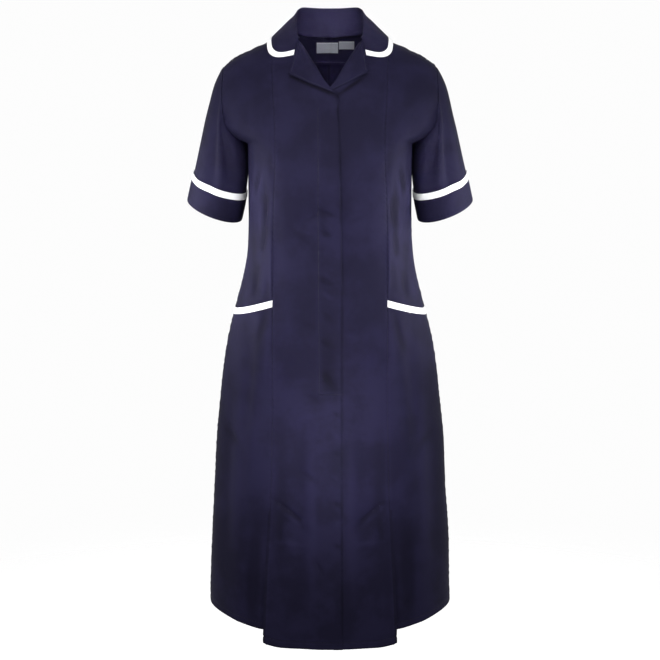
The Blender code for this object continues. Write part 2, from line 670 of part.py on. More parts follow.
def collar_station(station):
    """The collar's line from its seam up the stand, over the fold and down to its outer edge."""
    if station.facing == BACK:
        seam_x = float(back_neck_x(station.seam_rise))
    else:
        seam_x = float(roll_x(station.seam_rise)) - 0.0022
    seam = on_yoke(np.array(seam_x), height_on_roll(seam_x, station.seam_rise), station.facing)
    fold = np.array([station.fold_x, station.fold_y, station.fold_z])
    edge = on_yoke(np.array(station.edge_x), np.array(station.edge_z), station.facing)
    edge = clear_of_body(edge, COLLAR_REST)
    seam = seam + np.array([0, 0, 0.0018])
    fall = edge - fold
    length = np.linalg.norm(fall)
    crest = fold + np.array([0, 0, 0.0012])
    stand = [seam + share * (fold - seam) for share in STAND_SHARES]
    shares = list(np.linspace(0.06, 1 - COLLAR_TRIM / length, FALL_ROWS)) + [1.0]
    bow = np.array([station.fold_x, station.fold_y, 0])
    bow = bow / np.linalg.norm(bow) * 0.35 + np.array([0, 0, 1])
    down = [fold + s * fall + bow * 0.012 * s * (1 - s) * length / 0.07 for s in shares]
    down = [clear_of_body(point, COLLAR_REST) for point in down]
    return stand + [crest] + down


def build_collar():
    half = [np.array(collar_station(station)) for station in COLLAR]
    mirrored = [line * np.array([-1, 1, 1]) for line in reversed(half[1:])]
    grid = np.stack(mirrored + half, axis=1)
    normal = normals(grid, (0, 0, 1))
    if normal[-2, len(half) - 1, 1] < 0:
        normal = -normal
    layer("collar", grid, normal, 0.0, NAVY)
    layer("collar_trim", grid[-2:], normal[-2:], LAYER, WHITE)


# How far out and down each sleeve line sets off from the armhole, by its share round from the
# shoulder to the underarm.
SLEEVE_HEM = np.array([0.2055, 0.0, -0.3110])
SLEEVE_HEM_OUT = np.array([0.0465, 0.0, 0.0175])
SLEEVE_HEM_FRONT = np.array([0.0, -0.0660, -0.0120])
SLEEVE_FALL = np.array([0.24, 0.02, -0.97])
SLEEVE_ROWS = 6
SLEEVE_CLEAR_X = 0.1468
CUFF_CLEAR_X = 0.1503


def armhole_ring():
    """The armhole from the underarm up the front and down the back, with the body's normals there."""
    ring, out = [], []
    front = [(0.0, FRONT)] + [(rise, FRONT) for rise in RISES[:-1]] + [(SHOULDER_SEAM, FRONT)]
    back = [(rise, BACK) for rise in reversed(RISES[:-1])]
    for rise, facing in front + back:
        x = float(armhole_x(rise))
        level = UNDERARM_Z + rise * (float(shoulder_z(x)) - UNDERARM_Z)
        point = on_yoke(np.array(x), np.array(level), facing)
        beside = on_yoke(np.array([x - 0.004, x]), np.array([level, level - 0.004]), facing)
        normal = np.cross(beside[0] - point, beside[1] - point)
        size = np.linalg.norm(normal)
        normal = normal / size if size > 1e-12 else np.array([1.0, 0, 0])
        if normal @ (point - np.array([0.10, 0, -0.12])) < 0:
            normal = -normal
        if rise == 0.0:
            normal = np.array([1.0, 0, 0])
        if rise == SHOULDER_SEAM:
            normal = np.array([0.62, 0, 0.78])
            point[1] = 0.0
        ring.append(point)
        out.append(normal)
    return np.array(ring), np.array(out)


def sleeve_grid():
    ring, out = armhole_ring()
    steps = np.linalg.norm(np.roll(ring, -1, axis=0) - ring, axis=1)
    top = len(RISES)
    up = np.concatenate([[0], np.cumsum(steps[:top])]) / np.sum(steps[:top])
    down = np.concatenate([[0], np.cumsum(steps[top:-1])]) / np.sum(steps[top:])
    angle = np.concatenate([math.pi * (1 - up), -math.pi * down[1:]])
    columns = []
    for point, normal, turn in zip(ring, out, angle):
        under = (1 - math.cos(turn)) / 2
        lift = (2 * WALL + 0.0006) * float(soft_step(under, 0.30, 0.72))
        away = np.array([math.sqrt(max(1 - under, 0)), -0.4 * math.sin(turn), 0.5 - 1.1 * (1 - under)])
        start = point + normal * lift + away / np.linalg.norm(away) * 0.0009
        hem = SLEEVE_HEM + SLEEVE_HEM_OUT * math.cos(turn) + SLEEVE_HEM_FRONT * math.sin(turn)
        leave = np.array([0.018 * (1 - under), -0.007 * math.sin(turn), -0.012 - 0.036 * under])
        arrive = hem - SLEEVE_FALL * (0.12 - 0.07 * under)
        s = np.linspace(0, 1, 61)[:, None]
        curve = (1 - s) ** 3 * start + 3 * (1 - s) ** 2 * s * (start + leave)
        curve = curve + 3 * (1 - s) * s * s * arrive + s ** 3 * hem
        length = np.concatenate([[0], np.cumsum(np.linalg.norm(np.diff(curve, axis=0), axis=1))])
        marks = [length[-1], length[-1] - 0.020, length[-1] - CUFF_DEPTH + CUFF_TRIM, length[-1] - CUFF_DEPTH]
        marks += list(np.linspace(length[-1] - CUFF_DEPTH, 0, SLEEVE_ROWS + 1)[1:])
        columns.append([[np.interp(m, length, curve[:, axis]) for axis in range(3)] for m in marks])
    grid = np.array(columns).transpose(1, 0, 2)
    for index, row in enumerate(grid):
        least = CUFF_CLEAR_X if index < 4 else SLEEVE_CLEAR_X
        least += 0.0022 * (index == 4)
        row[:, 0] = np.where(row[:, 0] < least, least, row[:, 0])
    return grid


# Creases of the sleeve: rows counted from the hem, columns by share round from the underarm forwards.
SleeveCrease = namedtuple("SleeveCrease", "row0 round0 row1 round1 width depth")
SLEEVE_CREASES = [
    SleeveCrease(9.0, 0.20, 5.5, 0.10, 0.045, -0.0045),
    SleeveCrease(9.0, 0.06, 6.0, 0.22, 0.045, 0.0030),
    SleeveCrease(8.5, 0.42, 2.0, 0.38, 0.040, 0.0035),
    SleeveCrease(8.0, 0.33, 4.5, 0.30, 0.040, -0.0030),
    SleeveCrease(8.5, 0.64, 3.5, 0.68, 0.050, -0.0035),
    SleeveCrease(9.0, 0.80, 5.0, 0.90, 0.045, -0.0035),
]


def build_sleeves():
    for side_name, side in SIDES:
        grid = sleeve_grid() * np.array([side, 1, 1])
        normal = normals(grid, (-side, 0, 0), closed=True)
        rows = np.arange(len(grid))[:, None] * np.ones((1, grid.shape[1]))
        shares = np.arange(grid.shape[1])[None, :] / grid.shape[1] * np.ones((len(grid), 1))
        move = np.zeros(rows.shape)
        for crease in SLEEVE_CREASES:
            along = np.clip((rows - crease.row0) / (crease.row1 - crease.row0), 0, 1)
            middle = crease.round0 + along * (crease.round1 - crease.round0)
            past = np.maximum(0, np.maximum(rows - crease.row0, crease.row1 - rows)) / 2
            off = (shares - middle) / crease.width
            move += crease.depth * np.exp(-off ** 2 - past ** 2)
        near_body = soft_step(np.abs(grid[..., 0]), 0.150, 0.168)
        move *= near_body * (1 - soft_step(rows, 7.5, 9.0)) * soft_step(rows, 0.5, 3.5)
        grid = moved_out(grid, normal, move)
        normal = normals(grid, (-side, 0, 0), closed=True)
        layer("sleeve_" + side_name, grid, normal, 0.0, NAVY, closed=True)
        layer("cuff_" + side_name, grid[:4], normal[:4], LAYER, NAVY, closed=True)
        layer("cuff_trim_" + side_name, grid[2:4], normal[2:4], 2 * LAYER, WHITE, closed=True)


FACING_LIFT = 0.0033
LABEL_LIFT = 0.0054
Patch = namedtuple("Patch", "name x0 x1 drop0 drop1 columns color")
PATCHES = [
    Patch("neck_label", -0.0248, 0.0153, 0.0040, 0.0220, 3, GREY),
    Patch("size_label", 0.0171, 0.0445, 0.0020, 0.0150, 3, GREY),
]


def build_neck_inside():
    """A facing inside the back of the neck, with two bare labels sewn to it."""
    stops = np.linspace(-1, 1, 15)
    rows = []
    for drop in (FACING_DEPTH, 0.028, 0.014, 0.0012):
        row = []
        for stop in stops:
            rise = NAPE_RISE + (0.980 - NAPE_RISE) * abs(stop) ** 1.6
            x = float(back_neck_x(rise)) * (1 if stop >= 0 else -1) * (1 + drop * 2.0)
            z = float(height_on_roll(back_neck_x(rise), rise)) - drop
            row.append(on_yoke(np.array(x), np.array(z), BACK))
        rows.append(row)
    grid = np.array(rows)
    layer("back_neck_facing", grid, normals(grid, (0, 1, 0)), -FACING_LIFT, NAVY)

    nape_z = float(height_on_roll(np.array(0.0), NAPE_RISE))
    for patch in PATCHES:
        x = np.linspace(patch.x0, patch.x1, patch.columns + 1)
        rows = []
        for drop in (patch.drop1, patch.drop0):
            rows.append([on_yoke(np.array(value), np.array(nape_z - drop), BACK) for value in x])
        grid = np.array(rows)
        layer(patch.name, grid, normals(grid, (0, 1, 0)), -LABEL_LIFT, patch.color)


def build():
    for old in list(bpy.data.objects):
        bpy.data.objects.remove(old, do_unlink=True)
    build_fronts()
    build_side_fronts()
    build_backs()
    build_pleats()
    build_lapels()
    build_collar()
    build_sleeves()
    build_neck_inside()


build()
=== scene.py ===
"""Looks of a nurse's uniform dress: fine cloth shells, seams, stitching, trim and labels over the
part's solids, laid out as an add-on with one operator for each group of pieces."""

import math
from collections import namedtuple

import bpy
import numpy as np
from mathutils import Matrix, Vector


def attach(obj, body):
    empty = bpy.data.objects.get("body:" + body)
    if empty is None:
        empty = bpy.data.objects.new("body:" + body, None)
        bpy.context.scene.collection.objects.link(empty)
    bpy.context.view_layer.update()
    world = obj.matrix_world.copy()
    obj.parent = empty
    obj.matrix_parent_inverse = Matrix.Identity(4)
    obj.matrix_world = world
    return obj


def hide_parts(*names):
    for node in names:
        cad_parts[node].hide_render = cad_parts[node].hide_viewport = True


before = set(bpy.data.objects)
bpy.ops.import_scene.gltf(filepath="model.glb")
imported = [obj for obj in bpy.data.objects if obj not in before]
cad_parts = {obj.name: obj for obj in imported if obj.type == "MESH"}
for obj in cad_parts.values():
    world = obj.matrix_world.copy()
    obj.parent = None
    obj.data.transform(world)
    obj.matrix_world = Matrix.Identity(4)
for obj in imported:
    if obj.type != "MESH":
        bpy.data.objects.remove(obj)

bl_info = {
    "name": "Nurse's uniform dress",
    "version": (1, 0, 0),
    "blender": (4, 5, 0),
    "location": "View3D > Sidebar > Dress",
    "description": "Builds the cloth, seams, stitching, trim and labels of a uniform dress",
    "category": "Object",
}

WALL = 0.0012  # thickness of one layer of cloth
SEAM_GAP = 0.0003  # between pieces that are sewn edge to edge
LAYER_GAP = 0.0005  # between pieces that lie on each other
LAYER = WALL + LAYER_GAP  # how far one layer on top moves out

WEARERS_LEFT = 1
WEARERS_RIGHT = -1

UNDERARM_Z = -0.195
NECK_X = 0.0663
PLACKET_BOTTOM_Z = -0.625
PLACKET_RAMP = 0.006
PLEAT_TOP_Z = -0.809
PLEAT_DEPTH = 0.052
PLEAT_SLANT = 0.034
PLEAT_OPENING = 0.007
HEM_Z = -1.035
HEM_BLEND_Z = -0.90
FACING_DEPTH = 0.045

Section = namedtuple("Section", "z half_width front_depth back_depth squareness")
SECTIONS = [
    Section(-1.080, 0.2200, 0.170, 0.168, 2.20),
    Section(-1.000, 0.2180, 0.167, 0.165, 2.20),
    Section(-0.900, 0.2148, 0.161, 0.158, 2.22),
    Section(-0.800, 0.2083, 0.153, 0.150, 2.25),
    Section(-0.716, 0.2040, 0.146, 0.143, 2.30),
    Section(-0.630, 0.1945, 0.138, 0.136, 2.35),
    Section(-0.540, 0.1826, 0.129, 0.127, 2.40),
    Section(-0.475, 0.1662, 0.120, 0.113, 2.45),
    Section(-0.432, 0.1551, 0.113, 0.101, 2.55),
    Section(-0.390, 0.1473, 0.109, 0.091, 2.70),
    Section(-0.350, 0.1441, 0.111, 0.087, 2.85),
    Section(-0.300, 0.1435, 0.121, 0.092, 3.00),
    Section(-0.250, 0.1435, 0.127, 0.101, 3.35),
    Section(UNDERARM_Z, 0.1437, 0.124, 0.108, 4.00),
    Section(-0.120, 0.1437, 0.117, 0.109, 4.00),
    Section(0.030, 0.1437, 0.110, 0.106, 4.00),
]

# The armhole's edge and the width of the shoulders, by the share of the way from underarm to shoulder seam.
Yoke = namedtuple("Yoke", "rise half_width squareness armhole_x")
YOKE = [
    Yoke(0.00, 0.1437, 4.00, 0.1437),
    Yoke(0.04, 0.1590, 3.40, 0.1570),
    Yoke(0.09, 0.1740, 3.00, 0.1670),
    Yoke(0.18, 0.1930, 2.70, 0.1785),
    Yoke(0.38, 0.2150, 2.50, 0.1850),
    Yoke(0.70, 0.2350, 2.50, 0.1868),
    Yoke(1.00, 0.2450, 2.50, 0.1866),
]

ShoulderLine = namedtuple("ShoulderLine", "x z")
SHOULDER_LINE = [
    ShoulderLine(0.0000, 0.0250),
    ShoulderLine(0.0663, -0.0010),
    ShoulderLine(0.1263, -0.0256),
    ShoulderLine(0.1493, -0.0361),
    ShoulderLine(0.1706, -0.0474),
    ShoulderLine(0.1866, -0.0605),
    ShoulderLine(0.2000, -0.0760),
]

# Seams that run down the front and the back, as distances from the centre.
Seams = namedtuple("Seams", "z princess back_princess panel_edge lap stitch")
SEAMS = [
    Seams(-1.080, 0.1145, 0.1100, 0.1145, 0.0210, 0.0185),
    Seams(-0.980, 0.1110, 0.1070, 0.1118, 0.0210, 0.0185),
    Seams(-0.879, 0.1055, 0.1020, 0.1062, 0.0210, 0.0185),
    Seams(-0.809, 0.1029, 0.0990, 0.1029, 0.0210, 0.0185),
    Seams(-0.635, 0.0996, 0.0950, 0.0996, 0.0210, 0.0185),
    Seams(-0.445, 0.0994, 0.0900, 0.0994, 0.0210, 0.0195),
    Seams(-0.307, 0.0975, 0.0880, 0.0975, 0.0190, 0.0203),
    Seams(-0.195, 0.0936, 0.0920, 0.0936, 0.0160, 0.0203),
    Seams(-0.112, 0.0975, 0.0980, 0.0975, 0.0121, 0.0200),
    Seams(0.000, 0.1025, 0.1020, 0.1025, 0.0121, 0.0200),
]

# Where the revers fold over, and the back neckline, by the same share of the way up as YOKE.
Fold = namedtuple("Fold", "rise x")
BREAK_RISE = 0.387
ROLL_LINE = [
    Fold(BREAK_RISE, -0.0121),
    Fold(0.434, 0.0000),
    Fold(0.650, 0.0275),
    Fold(0.897, 0.0547),
    Fold(1.000, NECK_X),
]
NAPE_RISE = 0.845
BACK_NECK = [
    Fold(NAPE_RISE, 0.0000),
    Fold(0.892, 0.0300),
    Fold(0.938, 0.0480),
    Fold(0.977, 0.0600),
    Fold(1.000, NECK_X),
]


def smooth_curve(rows, key, value):
    """A monotone cubic through two named columns of a table: no overshoot between its rows."""
    xs = np.array([getattr(row, key) for row in rows], float)
    ys = np.array([getattr(row, value) for row in rows], float)
    steps = np.diff(xs)
    slopes = np.diff(ys) / steps
    tangents = np.concatenate([[slopes[0]], (slopes[:-1] + slopes[1:]) / 2, [slopes[-1]]])
    for i, slope in enumerate(slopes):
        if abs(slope) < 1e-12:
            tangents[i] = tangents[i + 1] = 0
            continue
        before, after = tangents[i] / slope, tangents[i + 1] / slope
        if before < 0:
            tangents[i] = before = 0
        if after < 0:
            tangents[i + 1] = after = 0
        size = math.hypot(before, after)
        if size > 3:
            tangents[i] = 3 * before / size * slope
            tangents[i + 1] = 3 * after / size * slope

    def read(x):
        x = np.clip(x, xs[0], xs[-1])
        i = np.clip(np.searchsorted(xs, x, side="right") - 1, 0, len(steps) - 1)
        h = steps[i]
        s = (x - xs[i]) / h
        left = (1 + 2 * s) * (1 - s) ** 2 * ys[i] + s * (1 - s) ** 2 * h * tangents[i]
        right = s * s * (3 - 2 * s) * ys[i + 1] + s * s * (s - 1) * h * tangents[i + 1]
        return left + right

    return read


def soft_step(value, low, high):
    """0 below low, 1 above high, and smooth between them."""
    share = np.clip((value - low) / (high - low), 0, 1)
    return share * share * (3 - 2 * share)


half_width = smooth_curve(SECTIONS, "z", "half_width")
front_depth = smooth_curve(SECTIONS, "z", "front_depth")
back_depth = smooth_curve(SECTIONS, "z", "back_depth")
squareness = smooth_curve(SECTIONS, "z", "squareness")
yoke_half_width = smooth_curve(YOKE, "rise", "half_width")
yoke_squareness = smooth_curve(YOKE, "rise", "squareness")
armhole_x = smooth_curve(YOKE, "rise", "armhole_x")
shoulder_z = smooth_curve(SHOULDER_LINE, "x", "z")
princess_x = smooth_curve(SEAMS, "z", "princess")
back_princess_x = smooth_curve(SEAMS, "z", "back_princess")
panel_edge_x = smooth_curve(SEAMS, "z", "panel_edge")
lap_x = smooth_curve(SEAMS, "z", "lap")
stitch_x = smooth_curve(SEAMS, "z", "stitch")
roll_x = smooth_curve(ROLL_LINE, "rise", "x")
back_neck_x = smooth_curve(BACK_NECK, "rise", "x")

# Rows of the panels: heights below the underarm, then shares of the way up to the shoulder seam.
SKIRT_ROWS = (-0.968, -0.900, -0.850, -0.809, -0.750, -0.690, -0.625, -0.545, -0.4646)
BODICE_ROWS = (-0.420, -0.380, -0.340, -0.300, -0.250, UNDERARM_Z)
RISES = (0.04, 0.09, 0.18, 0.28, BREAK_RISE, 0.44, 0.52, 0.62, 0.74, 0.86, 0.95, 1.0)
SHOULDER_SEAM = 1.0 - 0.5 * (0.5 * SEAM_GAP / 0.105) ** 2

# Uneven soft creases, as a line on the front or the back: depth is inward when negative.
Crease = namedtuple("Crease", "facing x0 z0 x1 z1 width depth")
FRONT, BACK = -1, 1


def creases_on(facing, *rows):
    """Creases of the front or of the back, from rows of their other values in millimetres."""
    return [Crease(facing, *(value / 1000 for value in row)) for row in rows]


CREASES = creases_on(
    FRONT,
    (-118, -215, -124, -400, 9, -4.2),
    (-105, -300, -112, -440, 8, 2.2),
    (-138, -505, -145, -680, 13, -4.8),
    (-119, -500, -140, -800, 12, 4),
    (-172, -560, -186, -960, 18, -5),
    (-55, -330, -18, -310, 10, -1.8),
    (-60, -640, -56, -1060, 24, -4),
    (120, -220, 123, -410, 9, -3.8),
    (108, -320, 113, -450, 8, 2),
    (136, -500, 148, -700, 13, -4.4),
    (121, -510, 138, -780, 12, 3.6),
    (175, -540, 184, -940, 18, -4.6),
    (62, -600, 66, -1060, 24, -3.8),
    (4, -395, 80, -380, 12, -2),
) + creases_on(
    BACK,
    (-70, -250, -55, -420, 16, -4),
    (74, -240, 58, -400, 16, -3.6),
    (-120, -560, -135, -1020, 22, -6),
    (-48, -600, -56, -1030, 22, 5),
    (40, -580, 52, -1030, 23, -5),
    (122, -590, 132, -1020, 22, 5.5),
    (-60, -370, 50, -395, 12, -3),
)


def hem_height(distance, facing, is_centre_panel):
    """The centre front hangs lower than the side panels that its pleats open over."""
    if facing == BACK:
        return -1.0235 - 0.0085 * soft_step(0.22 - distance, 0.0, 0.22)
    if is_centre_panel:
        return -1.0685 + 0.0040 * soft_step(distance, 0.085, 0.114)
    return -1.0425 + 0.0215 * soft_step(distance, 0.105, 0.225)


def section_at(level):
    """Half width, squareness and share of the depth kept at a level."""
    if level <= 0:
        z = UNDERARM_Z + level
        return half_width(z), squareness(z), 1.0
    return yoke_half_width(level), yoke_squareness(level), math.sqrt(1 - level * level)


def depth_at(z, facing):
    return front_depth(z) if facing == FRONT else back_depth(z)


def height_at(distance, level):
    if level <= 0:
        return np.full_like(distance, UNDERARM_Z + level)
    return UNDERARM_Z + level * (shoulder_z(np.abs(distance)) - UNDERARM_Z)


def level_arc(level, facing):
    """A fine line round one side of the body at a level, as distances, depths, heights and length."""
    width, power, keep = section_at(level)
    angle = np.linspace(-math.pi / 2, math.pi / 2, 1441)
    distance = width * np.sign(angle) * np.abs(np.sin(angle)) ** (2 / power)
    height = height_at(distance, level)
    depth = facing * keep * depth_at(height, facing) * np.maximum(np.cos(angle), 0) ** (2 / power)
    points = np.stack([distance, depth, height], axis=1)
    steps = np.linalg.norm(np.diff(points, axis=0), axis=1)
    return points, np.concatenate([[0], np.cumsum(steps)])


def level_row(level, facing, stops, cells, trims):
    """One row of a panel: so many cells by arc length between each two stops off the centre."""
    points, length = level_arc(level, facing)
    marks = np.interp(stops, points[:, 0], length)
    marks[0] += trims[0]
    marks[-1] -= trims[1]
    spread = [np.linspace(a, b, n + 1)[:-1] for a, b, n in zip(marks[:-1], marks[1:], cells)]
    spread = np.concatenate(spread + [marks[-1:]])
    return np.stack([np.interp(spread, length, points[:, axis]) for axis in range(3)], axis=1)


def at_height(row, new_z, facing):
    """Move a row of the skirt along the surface to other heights."""
    old_z = row[:, 2]
    row = row.copy()
    row[:, 0] *= half_width(new_z) / half_width(old_z)
    row[:, 1] *= depth_at(new_z, facing) / depth_at(old_z, facing)
    row[:, 2] = new_z
    return row


def hang(row, facing, is_centre_panel):
    """Below the knee the rows run over from level to the slope of the hem."""
    share = (HEM_BLEND_Z - row[:, 2]) / (HEM_BLEND_Z - HEM_Z)
    if np.all(share <= 0):
        return row
    hem = hem_height(np.abs(row[:, 0]), facing, is_centre_panel)
    return at_height(row, HEM_BLEND_Z + np.clip(share, 0, 1) * (hem - HEM_BLEND_Z), facing)


def line_depth(creases, x, z, facing):
    """The sum of the creases' depths at places on the front or on the back."""
    move = np.zeros_like(x)
    for crease in creases:
        if crease.facing != facing:
            continue
        run = np.array([crease.x1 - crease.x0, crease.z1 - crease.z0])
        along = ((x - crease.x0) * run[0] + (z - crease.z0) * run[1]) / (run @ run)
        nearest = np.clip(along, 0, 1)
        off = np.hypot(x - crease.x0 - nearest * run[0], z - crease.z0 - nearest * run[1])
        swell = 0.35 + 0.65 * np.sin(math.pi * np.clip(nearest, 0.05, 0.95))
        move += crease.depth * swell * np.exp(-(off / crease.width) ** 2)
    return move


def crease_depth(creases, x, y, z, facing):
    """How far out of the body, or into it when negative, its creases move a point."""
    return line_depth(creases, x, z, facing) * soft_step(-z, 0.10, 0.20) * soft_step(np.abs(y), 0.015, 0.055)


def creased(grid, side, facing):
    """Put an own-side grid on its side of the body and press the creases into it."""
    grid = grid * np.array([side, 1, 1])
    x, y, z = grid[..., 0], grid[..., 1], grid[..., 2]
    width, depth, power = half_width(z), depth_at(z, facing), squareness(z)
    out_x = np.sign(x) * np.minimum(np.abs(x) / width, 1) ** (power - 1) / width
    out_y = np.sign(y) * np.minimum(np.abs(y) / depth, 1) ** (power - 1) / depth
    size = np.maximum(np.hypot(out_x, out_y), 1e-9)
    move = crease_depth(CREASES + FINE_CREASES, x, y, z, facing)
    grid[..., 0] += move * out_x / size
    grid[..., 1] += move * out_y / size
    return grid


def read_along(points, marks, at):
    """Points read from a line of points, at places along it."""
    return np.stack([np.interp(at, marks, points[:, axis]) for axis in range(3)], axis=1)


def unit(vectors):
    """The vectors at a length of one."""
    return vectors / np.maximum(np.linalg.norm(vectors, axis=-1, keepdims=True), 1e-12)


def normals(grid, outward, closed=False):
    """Unit normals of a grid of points, turned so that those of its first column agree with outward."""
    if closed:
        across = np.roll(grid, -1, axis=1) - np.roll(grid, 1, axis=1)
    else:
        across = np.gradient(grid, axis=1)
    along = np.gradient(grid, axis=0)
    normal = unit(np.cross(across, along))
    middle = normal[len(grid) // 2, 0]
    return normal if middle @ np.array(outward, float) > 0 else -normal


# Sizes of the shown cloth. Each shell lies inside the wall of the solid that it stands for.
FINE = 0.0042  # spacing of the points of a finished shell
ROOT = "root"
FACE = 0.00115  # how far the shown cloth's face lies out of the inside of its solid
HEM_LINE = -0.8300  # row of the hem's stitching, as a level
PLACKET_TOP_Z = -0.129
PLACKET_FADE = 0.014
FIRM_FROM = 0.098  # further out than this the rows turn sharply at the underarm
FRONT_LIFT = 0.0023  # the right front over the placket's fly
LAP_LIFT = 0.0015  # and over the left front alone
UNDERLAP = 0.0165
POCKET_TOP_Z = -0.4646
POCKET_BAG_Z = -0.690
POCKET_FALL = 0.33
PRINCESS_TOP = 0.0966
POCKET_TRIM = 0.011
CUFF_DEPTH = 0.050
CUFF_TRIM = 0.011
COLLAR_TRIM = 0.010
COLLAR_REST = 0.0016
HALF_GAP = 0.0001
FAR = 0.03  # a distance from all stitching
ALLOWANCE = 0.0011  # depth of an edge that is turned into its seam
EVERYWHERE = 9.0  # beyond every height of the dress
SET_IN = (0.0012, 0.0035, 0.0075)  # how far a sleeve's allowance runs on into the body
TAPE_CLOTH = 0.0004
THIN_CLOTH = 0.0005  # the fly and the labels
CUFF_CLOTH = 0.0007
COLLAR_CLOTH = 0.0009
REVERS_CLOTH = 0.0010
REVERS_FLARE = 0.0050  # how far the edge of a revers stands off
FACING_STITCH = 0.006
LAP_TURNING = 0.014  # how far the lap's edge is turned under
CUFF_TURN = ((0.0012, 0.0008), (0.0002, 0.0013), (-0.0009, 0.0008))  # lift and reach round the cuff's foot
CUFF_INSIDE = (0.0015, 0.006, 0.012, 0.018)  # rows of the cuff inside the sleeve
EDGE_MARKS = (0.0009, 0.0022)  # extra points beside a seam or a stitched line
STITCH_INSET = 0.0045  # of the stitching round the revers
SIDES = (("right", WEARERS_RIGHT), ("left", WEARERS_LEFT))

LEVELS = [z - UNDERARM_Z for z in (HEM_Z,) + SKIRT_ROWS + BODICE_ROWS] + list(RISES)
LEVELS[-1] = SHOULDER_SEAM


def level_z(level):
    """Height of a seam that runs about 0.1 m off the centre."""
    return UNDERARM_Z + (level if level <= 0 else level * (shoulder_z(0.1) - UNDERARM_Z))


def outer_edge(level):
    return half_width(level_z(level)) if level <= 0 else float(armhole_x(level))


def front_edge(level):
    return -float(lap_x(level_z(level))) if level <= BREAK_RISE else float(roll_x(level))


def front_lift(distance, level):
    """How far the right front is raised over the placket, or over the lap below it."""
    z = level_z(level)
    near = 1 - soft_step(distance, stitch_x(z) + 0.001, stitch_x(z) + PLACKET_FADE)
    placket = soft_step(z, PLACKET_BOTTOM_Z - 0.012, PLACKET_BOTTOM_Z + 0.002)
    closed = 1 - soft_step(level, 0.44, 0.60)
    return near * closed * (LAP_LIFT + placket * (FRONT_LIFT - LAP_LIFT))


def row_marks(levels):
    """Places of rows along a panel, the same for all the panels so that their seams agree."""
    return np.array([level if level <= 0 else 0.155 * math.asin(min(level, 1)) for level in levels])


def spline(marks, values, at):
    """A natural cubic through rows of values, read at other marks."""
    marks = np.asarray(marks, float)
    values = np.asarray(values, float)
    shape = values.shape[1:]
    flat = values.reshape(len(marks), -1)
    step = np.diff(marks)
    if len(marks) < 3:
        curve = np.zeros_like(flat)
    else:
        matrix = np.zeros((len(marks), len(marks)))
        right = np.zeros_like(flat)
        matrix[0, 0] = matrix[-1, -1] = 1
        slope = np.diff(flat, axis=0) / step[:, None]
        for i in range(1, len(marks) - 1):
            matrix[i, i - 1] = step[i - 1]
            matrix[i, i] = 2 * (step[i - 1] + step[i])
            matrix[i, i + 1] = step[i]
            right[i] = 6 * (slope[i] - slope[i - 1])
        curve = np.linalg.solve(matrix, right)
    at = np.asarray(at, float)
    i = np.clip(np.searchsorted(marks, at, side="right") - 1, 0, len(step) - 1)
    h = step[i][:, None]
    left = (marks[i + 1] - at)[:, None]
    past = (at - marks[i])[:, None]
    out = (curve[i] * left ** 3 + curve[i + 1] * past ** 3) / (6 * h)
    out += (flat[i] / h - curve[i] * h / 6) * left + (flat[i + 1] / h - curve[i + 1] * h / 6) * past
    return out.reshape((len(at),) + shape)


def firm(marks, values, at):
    """A cubic through rows of values that never swings past them, for places where they turn sharply."""
    marks = np.asarray(marks, float)
    flat = np.asarray(values, float).reshape(len(marks), -1)
    step = np.diff(marks)[:, None]
    slope = np.diff(flat, axis=0) / step
    before, after = slope[:-1], slope[1:]
    weights = (2 * step[1:] + step[:-1], step[1:] + 2 * step[:-1])
    same = before * after > 1e-18
    safe = [np.where(same, part, 1.0) for part in (before, after)]
    inner = np.where(same, (weights[0] + weights[1]) / (weights[0] / safe[0] + weights[1] / safe[1]), 0.0)
    tangent = np.concatenate([slope[:1], inner, slope[-1:]])
    at = np.asarray(at, float)
    i = np.clip(np.searchsorted(marks, at, side="right") - 1, 0, len(step) - 1)
    h = step[i]
    s = (at - marks[i])[:, None] / h
    left = (1 + 2 * s) * (1 - s) ** 2 * flat[i] + s * (1 - s) ** 2 * h * tangent[i]
    right = s * s * (3 - 2 * s) * flat[i + 1] + s * s * (s - 1) * h * tangent[i + 1]
    return (left + right).reshape((len(at),) + np.shape(values)[1:])


def linear(marks, values, at):
    values = np.asarray(values, float)
    i = np.clip(np.searchsorted(marks, at, side="right") - 1, 0, len(marks) - 2)
    share = (np.asarray(at) - marks[i]) / (marks[i + 1] - marks[i])
    share = share.reshape((-1,) + (1,) * (values.ndim - 1))
    return values[i] * (1 - share) + values[i + 1] * share


def spread(low, high, spacing, edges=(), lines=()):
    """Even fine marks between two ends, with extra ones close to sewn edges and on stitched lines."""
    count = max(2, int(math.ceil((high - low) / spacing)))
    fine = np.linspace(low, high, count + 1)
    near, next_to_it = EDGE_MARKS
    extra = []
    for end in edges:
        edge, sign = ((low, 1), (high, -1))[end]
        extra += [edge + sign * near, edge + sign * next_to_it]
    for line in lines:
        inner = (fine > low) & (fine < high)
        fine = fine[~inner | (np.abs(fine - line) > 0.0030)]
        extra += [line + step for step in (-next_to_it, -near, 0.0, near, next_to_it)]
    return np.array(sorted(list(fine) + extra))


def mean_marks(grid, axis):
    steps = np.linalg.norm(np.diff(grid, axis=axis), axis=2).mean(axis=1 - axis)
    return np.concatenate([[0], np.cumsum(np.maximum(steps, 1e-6))])


